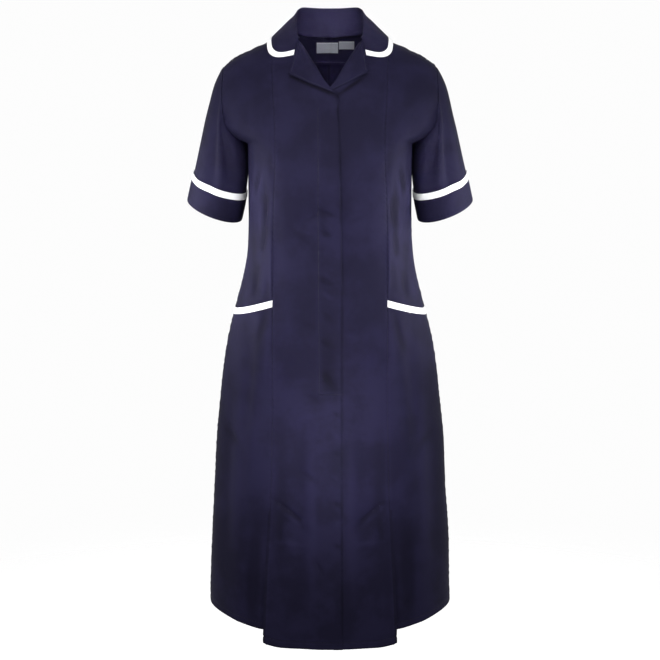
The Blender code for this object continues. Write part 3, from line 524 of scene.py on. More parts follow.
class Cloth:
    """A fine grid of points of one piece, with its normals and its distances along rows and columns."""

    def __init__(self, coarse, lifts=None, rows=None, sewn=(), spacing=FINE, closed=False, straight=False,
                 lines=(), row_lines=(), firm_from=None):
        coarse = np.asarray(coarse, float)
        rows = mean_marks(coarse, 0) if rows is None else np.asarray(rows, float)
        lifts = np.zeros(coarse.shape[:2]) if lifts is None else np.asarray(lifts, float)
        if closed:
            coarse = np.concatenate([coarse[:, -4:], coarse, coarse[:, :5]], axis=1)
            lifts = np.concatenate([lifts[:, -4:], lifts, lifts[:, :5]], axis=1)
        columns = mean_marks(coarse, 1)
        low, high = (columns[4], columns[-5]) if closed else (columns[0], columns[-1])
        line_marks = [columns[line] for line in lines]
        at_rows = spread(rows[0], rows[-1], spacing, lines=row_lines)
        at_columns = spread(low, high, spacing, sewn, line_marks)
        across = linear if straight else spline
        points = spline(rows, coarse, at_rows)
        if firm_from is not None:
            held = firm(rows, coarse, at_rows)
            share = soft_step(held[..., :1], firm_from, firm_from + 0.03)
            points = points * (1 - share) + held * share
        points = across(columns, points.transpose(1, 0, 2), at_columns).transpose(1, 0, 2)
        raised = linear(rows, lifts, at_rows)
        raised = linear(columns, raised.T, at_columns).T
        self.line_columns = [int(np.argmin(np.abs(at_columns - mark))) for mark in line_marks]
        self.line_rows = [int(np.argmin(np.abs(at_rows - mark))) for mark in row_lines]
        self.closed = closed
        self.lifts = raised
        self.points = points
        self.measure()

    @classmethod
    def of(cls, points, closed=False):
        """Cloth from a grid of points that is fine already."""
        cloth = cls.__new__(cls)
        cloth.points = np.asarray(points)
        cloth.closed = closed
        cloth.measure()
        return cloth

    def measure(self, stitch=None):
        """Note the distances along the rows and columns, and how far each point is from stitching."""
        along = np.linalg.norm(np.diff(self.points, axis=0), axis=2)
        across = np.linalg.norm(np.diff(self.points, axis=1), axis=2)
        zero_row = np.zeros((1, self.points.shape[1]))
        zero_column = np.zeros((self.points.shape[0], 1))
        self.along = np.concatenate([zero_row, np.cumsum(along, axis=0)], axis=0)
        self.across = np.concatenate([zero_column, np.cumsum(across, axis=1)], axis=1)
        self.stitch = np.full(self.points.shape[:2], FAR) if stitch is None else stitch

    def face(self, outward):
        """Find the normals, on the side that points outward."""
        grid = self.points[:, :-1] if self.closed else self.points
        normal = normals(grid, outward, self.closed)
        if self.closed:
            normal = np.concatenate([normal, normal[:, :1]], axis=1)
        self.normal = normal
        return self

    def out(self, distance):
        """Move the cloth along its normals."""
        distance = np.asarray(distance, float)
        self.points = self.points + self.normal * (distance if distance.ndim == 0 else distance[..., None])
        return self

    def area_and_flat(self):
        """The area, and the longest row and column laid flat."""
        p = self.points
        a, b, c, d = p[:-1, :-1], p[:-1, 1:], p[1:, 1:], p[1:, :-1]
        area = np.linalg.norm(np.cross(b - a, d - a), axis=2) + np.linalg.norm(np.cross(b - c, d - c), axis=2)
        width = np.linalg.norm(np.diff(p, axis=1), axis=2).sum(axis=1).max()
        length = np.linalg.norm(np.diff(p, axis=0), axis=2).sum(axis=0).max()
        return float(area.sum() / 2), float(width), float(length)

    def near_edge(self, end):
        """Distance of each point from the first or the last column."""
        return self.across if end == 0 else self.across[:, -1:] - self.across

    def sink(self, away, pucker=0.0004, reach=0.0075, depth=0.00040, width=0.0013, marked=True):
        """Sink the cloth along a sewn line, given each point's distance from it, and let it pucker."""
        x, z = self.points[..., 0], self.points[..., 2]
        wave = np.sin(z * 390 + 2.1 * np.sin(z * 61 + x * 40)) + 0.6 * np.sin(z * 910 + 3 * np.sin(z * 143))
        self.out(pucker * wave * np.exp(-(away / reach) ** 2) - depth * np.exp(-(away / width) ** 2))
        if marked:
            self.stitch = np.minimum(self.stitch, away)
        return self

    def slanted(self, start, end, depth=0.0008, width=0.0034):
        """A line of stitching aslant over the cloth, between two points given off the centre and up."""
        run = np.array(end) - start
        x, z = np.abs(self.points[..., 0]) - start[0], self.points[..., 2] - start[1]
        along = np.clip((x * run[0] + z * run[1]) / (run @ run), 0, 1)
        away = np.hypot(x - along * run[0], z - along * run[1])
        self.sink(away, 0.0003, 0.009, depth, width, marked=False)
        places = np.array(start) + np.linspace(0, 1, 40)[:, None] * run
        points, facings = [], []
        for place in places:
            off = np.hypot(np.abs(self.points[..., 0]) - place[0], self.points[..., 2] - place[1])
            nearest = np.unravel_index(off.argmin(), off.shape)
            point, normal = self.points[nearest], self.normal[nearest]
            step = np.array([math.copysign(place[0], point[0]) - point[0], 0, place[1] - point[2]])
            step[1] = -(step @ normal) / normal[1]
            points.append(point + step)
            facings.append(normal)
        return np.array(points), np.array(facings)

    def sewn_edge(self, end, pucker=0.0004):
        """Sink the cloth into the seam at its first or last column."""
        return self.sink(self.near_edge(end), pucker)

    def sewn_top(self, pucker=0.0004):
        """Sink the cloth into the seam at its last row."""
        return self.sink(self.along[-1:] - self.along, pucker)

    def groove(self, away, low=-EVERYWHERE, high=EVERYWHERE, pucker=0.0002):
        """A line of stitching within the cloth, between two heights."""
        z = self.points[..., 2]
        away = np.where((z > low) & (z < high), away, FAR)
        return self.sink(away, pucker, 0.006, 0.0004, 0.0012)

    def down_line(self, line):
        """Distance of each point from a line that runs down the cloth."""
        column = self.line_columns[line]
        return np.abs(self.across - self.across[:, column:column + 1])

    def across_line(self, line):
        """Distance of each point from a line that runs across it."""
        row = self.line_rows[line]
        return np.abs(self.along - self.along[row:row + 1])

    def sew_row(self, line, count=None):
        """Stitch along a line that runs across the cloth, over so many points of it."""
        row = self.line_rows[line]
        thread.sew("navy", self.points[row, :count], self.normal[row, :count])
        return self

    @staticmethod
    def turned_in(edge, normal, inner):
        """An edge turned in, and the flap of it that lies under the neighbour."""
        out = unit(edge - inner)
        turned = edge - normal * ALLOWANCE
        return [turned, turned - normal * 0.0002 + out * 0.0012, turned - normal * 0.0003 + out * 0.0050]

    def allowance(self, ends, flap=None):
        """Turn the sewn edges in; a flap's width more of it lies under the neighbour, so no light passes."""
        for end in ends:
            edge, inner = (0, 2) if end == 0 else (-1, -3)
            points, normal, stitch = self.points[:, edge], self.normal[:, edge], self.stitch[:, edge]
            turned = self.turned_in(points, normal, self.points[:, inner])
            if end != flap:
                turned = turned[:1]
            if end == 0:
                turned.reverse()
            turned = np.stack(turned, axis=1)
            normal = np.repeat(normal[:, None], turned.shape[1], axis=1)
            stitch = np.repeat(stitch[:, None], turned.shape[1], axis=1)
            parts = [(turned, self.points), (normal, self.normal), (stitch, self.stitch)]
            if end == 1:
                parts = [(whole, part) for part, whole in parts]
            self.points, self.normal, self.stitch = (np.concatenate(pair, axis=1) for pair in parts)
        self.measure(self.stitch)
        return self

    def lengthened(self, rows):
        """Add rows beyond the last one, each with the last row's normals."""
        count = len(rows)
        self.points = np.concatenate([self.points, np.array(rows)], axis=0)
        self.normal = np.concatenate([self.normal, np.repeat(self.normal[-1:], count, axis=0)], axis=0)
        self.measure(np.concatenate([self.stitch, np.repeat(self.stitch[-1:], count, axis=0)], axis=0))
        return self

    def top_flap(self):
        """Turn the shoulder's allowance in and let it lie under the back."""
        return self.lengthened(self.turned_in(self.points[-1], self.normal[-1], self.points[-3]))

    def set_in(self, middle):
        """Turn a sleeve's allowance into the body, towards a point inside it."""
        edge = self.points[-1]
        inward = unit(np.array(middle) - edge)
        return self.lengthened([edge + inward * reach for reach in SET_IN])


def ripple(x, y, z, amount):
    """The shallow unevenness of worn cloth, the same for all the pieces that meet at a place."""
    a = np.sin(23 * x + 9 * z + 1.3 * np.sin(17 * z + 5 * y)) * np.sin(13 * z - 21 * y + 0.7)
    b = np.sin(51 * x - 14 * z + 2.0 * np.sin(29 * z + 1.1)) * np.sin(31 * z + 40 * y + 2.1)
    return amount * (0.65 * a + 0.35 * b)


FINE_CREASES = creases_on(
    FRONT,
    (-106, -205, -96, -262, 7, -1.6),
    (-128, -225, -131, -350, 4.5, 1.5),
    (-112, -255, -117, -400, 4.5, -1.4),
    (-133, -300, -133, -440, 5, -1.6),
    (-112, -486, -127, -545, 6, -2.2),
    (-103, -492, -113, -600, 6, 1.6),
    (-24, -318, -46, -330, 4, -1),
    (-23, -352, -56, -340, 4.5, 0.9),
    (-23, -512, -48, -500, 5, -1.1),
    (-19, -640, -44, -622, 5, -1.3),
    (-15, -655, -52, -668, 6, 1.1),
    (-76, -330, -30, -372, 7, -1.2),
    (-70, -835, -35, -865, 7, -1.6),
    (-90, -848, -60, -905, 8, 1.4),
    (-35, -690, -30, -1000, 11, 1.8),
    (-83, -700, -86, -960, 12, -1.6),
    (-160, -620, -170, -900, 12, 2.2),
    (-130, -860, -138, -1030, 12, -2.6),
    (104, -210, 95, -255, 7, -1.5),
    (129, -230, 132, -370, 4.5, 1.4),
    (113, -250, 116, -380, 4.5, -1.3),
    (134, -310, 133, -430, 5, -1.5),
    (111, -486, 130, -560, 6, -2.1),
    (104, -490, 112, -590, 6, 1.5),
    (29, -330, 60, -318, 6, -1),
    (28, -520, 56, -532, 6, 1),
    (74, -838, 38, -862, 7, -1.5),
    (92, -846, 64, -900, 8, 1.3),
    (36, -700, 42, -990, 11, 1.6),
    (85, -690, 87, -930, 12, -1.5),
    (161, -640, 172, -920, 12, 2.1),
    (134, -850, 140, -1030, 12, -2.5),
    (-123.1, -244, -130.5, -281, 3.4, -4.6),
    (-116, -252, -125, -296, 3.4, 3.4),
    (-109, -286, -113.5, -328, 4, -4.4),
    (-120, -300, -121.5, -345, 4, 3),
    (-111, -340, -117, -375, 4.2, -4.2),
    (-133.5, -268, -137.2, -304, 3, 2.6),
    (-100.4, -355, -102, -458, 3.6, 2.4),
    (-125, -410, -133, -455, 5, -3.6),
    (-112, -430, -120, -462, 4, 1.6),
    (122.5, -240, 130, -278, 3.4, -4.6),
    (115.5, -250, 123.5, -300, 3.4, 3.4),
    (108.5, -290, 112, -335, 4, -4.2),
    (120.5, -305, 122.5, -350, 4, 3),
    (112.5, -350, 116, -385, 4.2, -4),
    (133, -264, 136.8, -300, 3, 2.6),
    (100.6, -350, 102.2, -455, 3.6, 2.4),
    (129, -420, 135, -460, 5, -3.4),
    (-18, -528, 4, -541, 5.5, -2.2),
    (-15, -585, 6, -612, 8, -2.6),
    (8, -600, 9, -640, 5, -1.4),
    (-19, -308, 6, -318, 4, -2.6),
    (-16, -322, 6, -345, 4.5, 2),
    (-15, -345, 0, -352, 4, -2),
    (-19, -424, 4, -436, 5, -2.4),
    (-16, -448, 5, -462, 5, 1.6),
    (-12, -484, 6, -500, 5, -1.6),
    (6, -655, 16, -662, 3.5, -1.8),
    (5, -690, 15, -700, 3.5, 1.6),
    (6, -725, 18, -728, 3.5, -1.8),
    (6, -765, 15, -772, 3.5, 1.6),
    (7, -812, 20, -818, 4, -2),
    (6, -850, 18, -846, 4, 1.8),
    (7, -884, 19, -890, 4, -1.8),
    (-96, -881, -36, -887, 3.8, 1.6),
    (34, -886, 95, -882, 3.8, 1.6),
    (-30, -905, -12, -935, 5, -1.8),
    (-52, -760, -25, -774, 5, -1.6),
    (-88, -842, -85, -880, 4, -1.8),
    (86, -846, 89, -878, 4, -1.8),
    (-190, -690, -160, -720, 8, -2),
    (180, -700, 148, -735, 8, -2),
    (-93, -813, -52, -842, 2.6, -3.2),
    (92, -815, 55.5, -843, 2.6, -3.2),
    (-78, -835, -52, -852, 3, 2.4),
    (-90.5, -818, -87, -827, 3, 2.2),
    (90.5, -818, 87, -827, 3, 2.2),
    (78, -837, 56, -854, 3, 2.4),
) + creases_on(
    BACK,
    (-90, -330, -30, -352, 6, 1.5),
    (88, -345, 25, -360, 6, 1.6),
    (-95, -405, -20, -418, 8, -2),
    (90, -398, 30, -425, 8, -1.8),
    (-130, -230, -110, -300, 7, -2),
    (132, -235, 108, -310, 7, -2.2),
    (-85, -700, -92, -1010, 13, -2.6),
    (80, -680, 90, -1010, 13, 2.6),
    (-160, -640, -172, -980, 13, 2.6),
    (164, -650, 175, -990, 13, -2.4),
)


def pressed(cloth, side, facing):
    """Own-side cloth put on its side of the body, with the large and the small creases in it."""
    cloth.points = creased(cloth.points, side, facing)
    cloth.face((0, facing, 0))
    x, y, z = (cloth.points[..., axis] for axis in range(3))
    under_sleeve = soft_step(np.abs(x), 0.128, 0.140) * soft_step(z, -0.34, -0.30)
    cloth.out(ripple(x, y, z, 0.0011) * soft_step(-z, 0.0, 0.12) * (1 - under_sleeve))
    return cloth.face((0, facing, 0))


def panel(side, facing, levels, stops_at, cells, sewn=(0, 1), centre=False, rows=None, lift=None,
          lines=(), row_lines=()):
    """A body panel as fine cloth, from the same rows and stops as its solid."""
    if rows is None:
        rows = [level_row(level, facing, stops_at(level), cells, (HALF_GAP, HALF_GAP)) for level in levels]
        rows = [hang(row, facing, centre) if level < 0 else row for level, row in zip(levels, rows)]
    rows = np.array(rows)
    lifts = None
    if lift is not None:
        lifts = np.array([lift(row[:, 0], level) for row, level in zip(rows, levels)])
    cloth = Cloth(rows, lifts, row_marks(levels), sewn, lines=lines, row_lines=row_lines, firm_from=FIRM_FROM)
    return pressed(cloth, side, facing)


def turned_under(cloth, allowance, drop=0.0008, down_the_front=False):
    """Fold the cloth's lowest row, or its first column, under for so far."""
    def turn(grid):
        return grid.swapaxes(0, 1) if down_the_front else grid

    points, normal, stitch = turn(cloth.points), turn(cloth.normal), turn(cloth.stitch)
    reach = np.linalg.norm(np.diff(points, axis=0), axis=2).mean(axis=1).cumsum()
    count = max(1, int(np.searchsorted(reach, allowance)))
    outwards = unit(points[0] - points[1])
    under = [points[i] - normal[i] * 2 * drop for i in range(count, 0, -1)]
    under.append(points[0] - normal[0] * 1.95 * drop - outwards * drop * 0.1)
    under.append(points[0] - normal[0] * 1.5 * drop + outwards * drop * 0.75)
    under.append(points[0] - normal[0] * 0.6 * drop + outwards * drop * 0.75)
    far = np.full((len(under),) + stitch.shape[1:], FAR)
    cloth.points = turn(np.concatenate([np.array(under), points], axis=0))
    cloth.normal = turn(np.concatenate([np.repeat(normal[:1], len(under), axis=0), normal], axis=0))
    cloth.measure(turn(np.concatenate([far, stitch], axis=0)))


class Thread:
    """Rows of stitches, gathered while the pieces are made and turned into meshes at the end."""

    def __init__(self):
        self.rows = {"navy": [], "white": []}

    def sew(self, color, points, normal):
        """Note a line of stitches through points that lie on the cloth."""
        if len(points) > 1:
            self.rows[color].append((np.asarray(points), np.asarray(normal)))

    def mesh(self, color, length, gap, width):
        """All the stitches of one colour, each a small raised lozenge."""
        centres, directions, ups = [], [], []
        for points, normal in self.rows[color]:
            steps = np.linalg.norm(np.diff(points, axis=0), axis=1)
            marks = np.concatenate([[0], np.cumsum(steps)])
            count = int(marks[-1] / (length + gap))
            if count < 1:
                continue
            at = (np.arange(count) + 0.5) * marks[-1] / count
            ahead, behind = (read_along(points, marks, at + half) for half in (length / 2, -length / 2))
            centres.append(read_along(points, marks, at))
            directions.append(unit(ahead - behind))
            ups.append(unit(read_along(normal, marks, at)))
        centre, run, up = (np.concatenate(part) for part in (centres, directions, ups))
        side = unit(np.cross(up, run))
        profile = [(-0.5, 0.0, -0.10), (0.5, 0.0, -0.10)]
        for along in (-0.30, 0.30):
            profile += [(along, 0.5, 0.05), (along, 0.0, 0.62), (along, -0.5, 0.05), (along, 0.0, -0.35)]
        points = [
            centre + run * along * length + side * across * width + up * height * width
            for along, across, height in profile
        ]
        points = np.stack(points, axis=1).reshape(-1, 3)
        faces = []
        for k in range(4):
            j = (k + 1) % 4
            faces += [(0, 2 + j, 2 + k), (1, 6 + k, 6 + j), (2 + k, 2 + j, 6 + j, 6 + k)]
        count = len(profile)
        every = [tuple(i + stitch * count for i in face) for stitch in range(len(centre)) for face in faces]
        return points, every


thread = Thread()

# What each piece is sewn to or lies on, first those of either side.
SEWN_TO = {
    "front": "back",
    "side_front": "front",
    "side_skirt": "side_front",
    "side_back": "back",
    "back": "front",
    "pleat": "front",
    "lapel": "front",
    "sleeve": "side_front",
    "cuff": "sleeve",
    "cuff_trim": "cuff",
    "pocket_trim": "side_skirt",
}
SEWN_TO = {f"{piece}_{side}": f"{other}_{side}" for piece, other in SEWN_TO.items() for side, _ in SIDES}
SEWN_TO.update(
    collar="back_right", collar_trim="collar", back_neck_facing="back_right",
    neck_label="back_neck_facing", size_label="back_neck_facing", button_fly="front_right",
)


def row_at(cloth, distance):
    """The row, as a part number, that runs so far above the first one in each column."""
    number = np.arange(cloth.points.shape[0])
    return np.array([np.interp(distance, column, number) for column in cloth.along.T])


def between(values, rows, columns):
    """Values of a grid at part numbers of rows and columns."""
    r = np.clip(np.floor(rows).astype(int), 0, values.shape[0] - 2)
    c = np.clip(np.floor(columns).astype(int), 0, values.shape[1] - 2)
    fr, fc = (rows - r)[:, None], (columns - c)[:, None]
    top = values[r, c] * (1 - fc) + values[r, c + 1] * fc
    low = values[r + 1, c] * (1 - fc) + values[r + 1, c + 1] * fc
    return top * (1 - fr) + low * fr


def sew_down(cloth, color, column, low, high):
    """Stitch down a column between two heights."""
    points, normal = cloth.points[:, column], cloth.normal[:, column]
    keep = (points[:, 2] > low) & (points[:, 2] < high)
    thread.sew(color, points[keep], normal[keep])


def sew_across(cloth, color, rows):
    """Stitch across the cloth, at a part row of each column."""
    columns = np.arange(cloth.points.shape[1]).astype(float)
    rows = np.broadcast_to(rows, columns.shape).astype(float)
    thread.sew(color, between(cloth.points, rows, columns), between(cloth.normal, rows, columns))


def sew_line(cloth, color, places):
    """Stitch along a line of part rows and columns on a piece."""
    places = np.array(places, float)
    marks = np.arange(len(places))
    fine = np.linspace(0, len(places) - 1, 12 * len(places))
    rows = np.interp(fine, marks, places[:, 0])
    columns = np.interp(fine, marks, places[:, 1])
    thread.sew(color, between(cloth.points, rows, columns), between(cloth.normal, rows, columns))


FOLD_FULL = 0.0019  # at this depth a crease gets the full painted shade in its valley or painted highlight on its ridge; the fronts' painted shadows are measured by it too

# Painted shadows on the fronts, darker colour where shade falls: under the revers, along the lap and on the
# doubled placket.
LAP_SHADE_HEIGHTS = (
    -0.100, -0.190, -0.270, -0.345, -0.450, -0.560, -0.635, -0.700, -0.770, -0.850, -0.930, -1.045,
)
FRONT_SHADES = creases_on(
    FRONT,
    (-67, -80.8, 13.5, -113.5, 3, -9),
    (62, -79, 16, -110.5, 3.4, -4.8),
    (-4, -530, -3, -620, 14, -2.2),
    (-18, -306, -6, -348, 8, -1.7),
) + [
    Crease(FRONT, float(lap_x(top)), top, float(lap_x(low)), low, 0.0028, -0.0018)
    for top, low in zip(LAP_SHADE_HEIGHTS, LAP_SHADE_HEIGHTS[1:])
]


def shell(node, cloth, material, thickness, rounded=False, shades=()):
    """Make the cloth a thin shell with its outer face on the grid, in the place of a solid."""
    name = node + "_cloth"
    rows, columns = cloth.points.shape[:2]
    bpy.ops.object.select_all(action="DESELECT")
    bpy.ops.mesh.primitive_grid_add(x_subdivisions=columns - 1, y_subdivisions=rows - 1, size=1)
    piece = bpy.context.object
    piece.name = name
    mesh = piece.data
    mesh.name = name
    mesh.vertices.foreach_set("co", cloth.points.reshape(-1, 3).ravel())
    index = np.empty(len(mesh.loops), dtype=np.int32)
    mesh.loops.foreach_get("vertex_index", index)
    uv = np.stack([cloth.across.ravel()[index], cloth.along.ravel()[index]], axis=1)
    mesh.uv_layers.active.data.foreach_set("uv", uv.ravel())
    distance = mesh.attributes.new("stitch", "FLOAT", "POINT")
    distance.data.foreach_set("value", cloth.stitch.ravel())
    x, y, z = cloth.points.reshape(-1, 3).T
    # Painted shade in the valleys of the fine creases and painted highlight on their ridges, with the painted
    # shadows given as shades, kept in the fold attribute that the navy cloth reads.
    fold = sum(crease_depth(FINE_CREASES, x, y, z, facing) * (y * facing > 0) for facing in (FRONT, BACK))
    painted_shade_and_highlight = mesh.attributes.new("fold", "FLOAT", "POINT")
    shade = line_depth(shades, x, z, FRONT)
    painted_shade_and_highlight.data.foreach_set("value", np.clip(fold / FOLD_FULL, -1, 1) + np.clip(shade / FOLD_FULL, -2, 0))
    mesh.update()
    facing = np.empty(len(mesh.vertices) * 3)
    mesh.vertices.foreach_get("normal", facing)
    bpy.ops.object.mode_set(mode="EDIT")
    bpy.ops.mesh.select_all(action="SELECT")
    if (facing.reshape(-1, 3) * cloth.normal.reshape(-1, 3)).sum() < 0:
        bpy.ops.mesh.flip_normals()
    if cloth.closed:
        bpy.ops.mesh.remove_doubles(threshold=0.00002)
    bpy.ops.object.mode_set(mode="OBJECT")
    wall = piece.modifiers.new("wall", "SOLIDIFY")
    wall.thickness = thickness
    wall.offset = -1
    bpy.ops.object.modifier_apply(modifier="wall")
    if rounded:
        edge = piece.modifiers.new("edge", "BEVEL")
        edge.width = thickness * 0.35
        edge.segments = 2
        edge.limit_method = "ANGLE"
        edge.angle_limit = math.radians(55)
        bpy.ops.object.modifier_apply(modifier="edge")
    bpy.ops.object.shade_smooth_by_angle(angle=math.radians(60))
    mesh.materials.clear()
    mesh.materials.append(material)
    area, width, length = cloth.area_and_flat()
    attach(piece, ROOT)
    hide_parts(node)


def front_stops(level, widest_lap=1.0):
    """Stops across a front: its edge, both sides of the placket's stitching, and the princess seam."""
    edge = max(front_edge(min(level, BREAK_RISE)), -widest_lap)
    seam = float(panel_edge_x(level_z(level)))
    stitch = float(stitch_x(level_z(level)))
    shares = [(stop - edge) / (seam - edge) for stop in (edge, stitch, stitch + PLACKET_RAMP, seam)]
    start = max(front_edge(level), -widest_lap)
    return [start + share * (seam - start) for share in shares]


def left_front_stops(level):
    return front_stops(level, UNDERLAP)


# The slanted stitching that holds the top of each pleat: distance off the centre and height.
PLEAT_STAYS = {
    "right": ((0.0930, -0.8130), (0.0520, -0.8420)),
    "left": ((0.0920, -0.8150), (0.0555, -0.8430)),
}
PLACKET_FOOT = PLACKET_BOTTOM_Z - UNDERARM_Z


def make_fronts(sizes, look):
    """The right front laps over the left one; its stitched placket hides the fly with its fastening."""
    left = panel(WEARERS_LEFT, FRONT, LEVELS, left_front_stops, (2, 1, 4), sewn=(1,), centre=True,
                 row_lines=(HEM_LINE,))
    left.sewn_edge(1).sewn_top().groove(left.across_line(0))
    left.out(FACE)
    thread.sew("navy", *left.slanted(*PLEAT_STAYS["left"]))
    left.top_flap().allowance((1,), flap=1)
    left.sew_row(0)
    turned_under(left, sizes.hem)
    shell("front_left", left, look["navy"], sizes.cloth, shades=FRONT_SHADES)

    right = panel(WEARERS_RIGHT, FRONT, LEVELS, front_stops, (2, 1, 4), sewn=(1,), centre=True,
                  lift=front_lift, lines=(2,), row_lines=(HEM_LINE, PLACKET_FOOT))
    right.out(right.lifts).face((0, FRONT, 0))
    right.sewn_edge(1).sewn_top().groove(right.across_line(0))
    right.groove(right.down_line(0), PLACKET_BOTTOM_Z, PLACKET_TOP_Z)
    within = np.arange(right.points.shape[1]) <= right.line_columns[0]
    right.groove(np.where(within, right.across_line(1), FAR))
    right.out(FACE)
    right.sink(right.near_edge(0), 0.0004, 0.008, 0.0, marked=False)
    foot, number = right.line_rows[1], right.line_columns[0] + 1
    thread.sew("navy", right.points[foot, :number], right.normal[foot, :number])
    thread.sew("navy", *right.slanted(*PLEAT_STAYS["right"]))
    sew_down(right, "navy", right.line_columns[0], PLACKET_BOTTOM_Z, PLACKET_TOP_Z)
    right.sew_row(0)
    right.top_flap().allowance((1,), flap=1)
    turned_under(right, sizes.hem)
    turned_under(right, LAP_TURNING, 0.0004, down_the_front=True)
    shell("front_right", right, look["navy"], sizes.cloth, shades=FRONT_SHADES)

    fly_levels = [level for level in LEVELS if PLACKET_BOTTOM_Z - UNDERARM_Z <= level < BREAK_RISE]

    def fly_stops(level):
        return [front_edge(level) + 0.003, float(stitch_x(level_z(level))) - 0.0015]

    fly = panel(WEARERS_RIGHT, FRONT, fly_levels, fly_stops, (4,), sewn=())
    fly.out(0.0019)
    shell("button_fly", fly, look["navy"], THIN_CLOTH)


def pleat_recess(distance, level):
    """How far the side panel lies in behind the centre panel's edge once the pleat opens."""
    z = level_z(level)
    below = soft_step(PLEAT_TOP_Z - z, 0.0, 0.03)
    edge = panel_edge_x(z)
    reach = 1 - soft_step(distance, edge + 0.001, edge + 0.034)
    opening = PLEAT_OPENING * soft_step(PLEAT_TOP_Z - z, 0.0, 0.24)
    return -below * reach * (2 * LAYER + opening)


def side_stops(level):
    z = level_z(level)
    return [float(princess_x(z)), float(princess_x(z)) + 0.012, outer_edge(level)]


def side_rows(levels):
    """Rows of a side panel, which slant with the pocket's edge and run level again away from it."""
    rows = []
    for level in levels:
        z = level_z(level)
        row = level_row(level, FRONT, side_stops(level), (2, 4), (HALF_GAP, HALF_GAP))
        if level < 0:
            row = hang(row, FRONT, False)
            share = soft_step(z, -0.75, POCKET_TOP_Z) * (1 - soft_step(z, POCKET_TOP_Z, -0.34))
            row = at_height(row, row[:, 2] - share * POCKET_FALL * (row[:, 0] - PRINCESS_TOP), FRONT)
        rows.append(row)
    return np.array(rows)


def strip(cloth, distances, from_top=True):
    """Rows of points, with normals, at distances from the last or the first row of a piece."""
    away = cloth.along[-1:] - cloth.along if from_top else cloth.along
    number = np.arange(cloth.points.shape[0])
    columns = np.arange(cloth.points.shape[1]).astype(float)
    rows, facings = [], []
    for distance in distances:
        if from_top:
            at = np.array([np.interp(-distance, -column, number) for column in away.T])
        else:
            at = np.array([np.interp(distance, column, number) for column in away.T])
        rows.append(between(cloth.points, at, columns))
        facings.append(between(cloth.normal, at, columns))
    return np.array(rows), np.array(facings)


def tape(cloth, width, lift, wrap, from_top=True, thick=0.0006, behind=0.0016):
    """A tape folded lengthways over the edge of a piece: its face, its fold and what shows behind."""
    distances = [width, width - 0.0006] + list(np.linspace(width - 0.0022, 0.0016, 5)) + [0.0006]
    points, normal = strip(cloth, distances, from_top)
    edge, edge_normal = strip(cloth, [0.0, 0.003], from_top)
    out = edge[0] - edge[1]
    out = out / np.maximum(np.linalg.norm(out, axis=1, keepdims=True), 1e-9)
    face = points + normal * lift
    face[0] -= normal[0] * thick * 0.6
    mid = edge[0] + edge_normal[0] * (lift - behind) / 2 + out * (thick * 0.9)
    top = edge[0] + edge_normal[0] * lift * 0.7 + out * (thick * 0.6)
    low = edge[0] - edge_normal[0] * behind * 0.7 + out * (thick * 0.6)
    back_points, back_normal = strip(cloth, [0.001] + list(np.linspace(0.003, wrap, 3)), from_top)
    back = back_points - back_normal * behind
    rows = np.concatenate([face, [top, mid, low], back], axis=0)
    made = Cloth.of(rows, cloth.closed)
    away = np.array(distances + [-0.001] * 3 + [-0.003] * len(back))
    made.stitch = np.broadcast_to(np.abs(away - (width - 0.0016))[:, None], rows.shape[:2]).copy()
    made.face(normal[len(rows) // 2 if len(rows) // 2 < len(normal) else -1, 0])
    if (made.normal[1] * normal[1]).sum() < 0:
        made.normal = -made.normal
    line, line_normal = strip(cloth, [width - 0.0016], from_top)
    thread.sew("white", line[0] + line_normal[0] * lift, line_normal[0])
    return made


def make_side_fronts(sizes, look):
    """The upper side panel runs on down behind the pocket; the skirt's side panel starts at its edge."""
    bag = LEVELS.index(POCKET_BAG_Z - UNDERARM_Z)
    pocket = LEVELS.index(POCKET_TOP_Z - UNDERARM_Z)
    above_pocket = POCKET_TOP_Z + 0.015 - UNDERARM_Z
    upper = LEVELS[bag:pocket + 1] + [above_pocket] + LEVELS[pocket + 1:]
    skirt = LEVELS[:pocket + 1]
    for side_name, side in SIDES:
        rows = side_rows(upper)
        lifts = np.zeros(rows.shape[:2])
        lifts[:pocket + 1 - bag] = -LAYER
        body = pressed(Cloth(rows, lifts, row_marks(upper), (0, 1), firm_from=FIRM_FROM), side, FRONT)
        body.out(body.lifts).face((0, FRONT, 0))
        body.sewn_edge(0, sizes.pucker).sewn_edge(1, sizes.pucker).sewn_top(sizes.pucker)
        body.out(FACE).top_flap().allowance((0, 1), flap=1)
        shell("side_front_" + side_name, body, look["navy"], sizes.cloth)

        rows = side_rows(skirt)
        lifts = np.array([pleat_recess(row[:, 0], level) for row, level in zip(rows, skirt)])
        cloth = Cloth(rows, lifts, row_marks(skirt), (0, 1), row_lines=(HEM_LINE,))
        skirt_cloth = pressed(cloth, side, FRONT)
        skirt_cloth.out(skirt_cloth.lifts).face((0, FRONT, 0))
        skirt_cloth.sewn_edge(0, sizes.pucker).sewn_edge(1, sizes.pucker)
        skirt_cloth.groove(skirt_cloth.across_line(0))
        skirt_cloth.out(FACE)
        skirt_cloth.sew_row(0)
        trim = tape(skirt_cloth, POCKET_TRIM, 0.0007, 0.008, behind=0.0012)
        skirt_cloth.allowance((0, 1), flap=1)
        turned_under(skirt_cloth, sizes.hem)
        shell("side_skirt_" + side_name, skirt_cloth, look["navy"], sizes.cloth)
        shell("pocket_trim_" + side_name, trim, look["white"], TAPE_CLOTH)


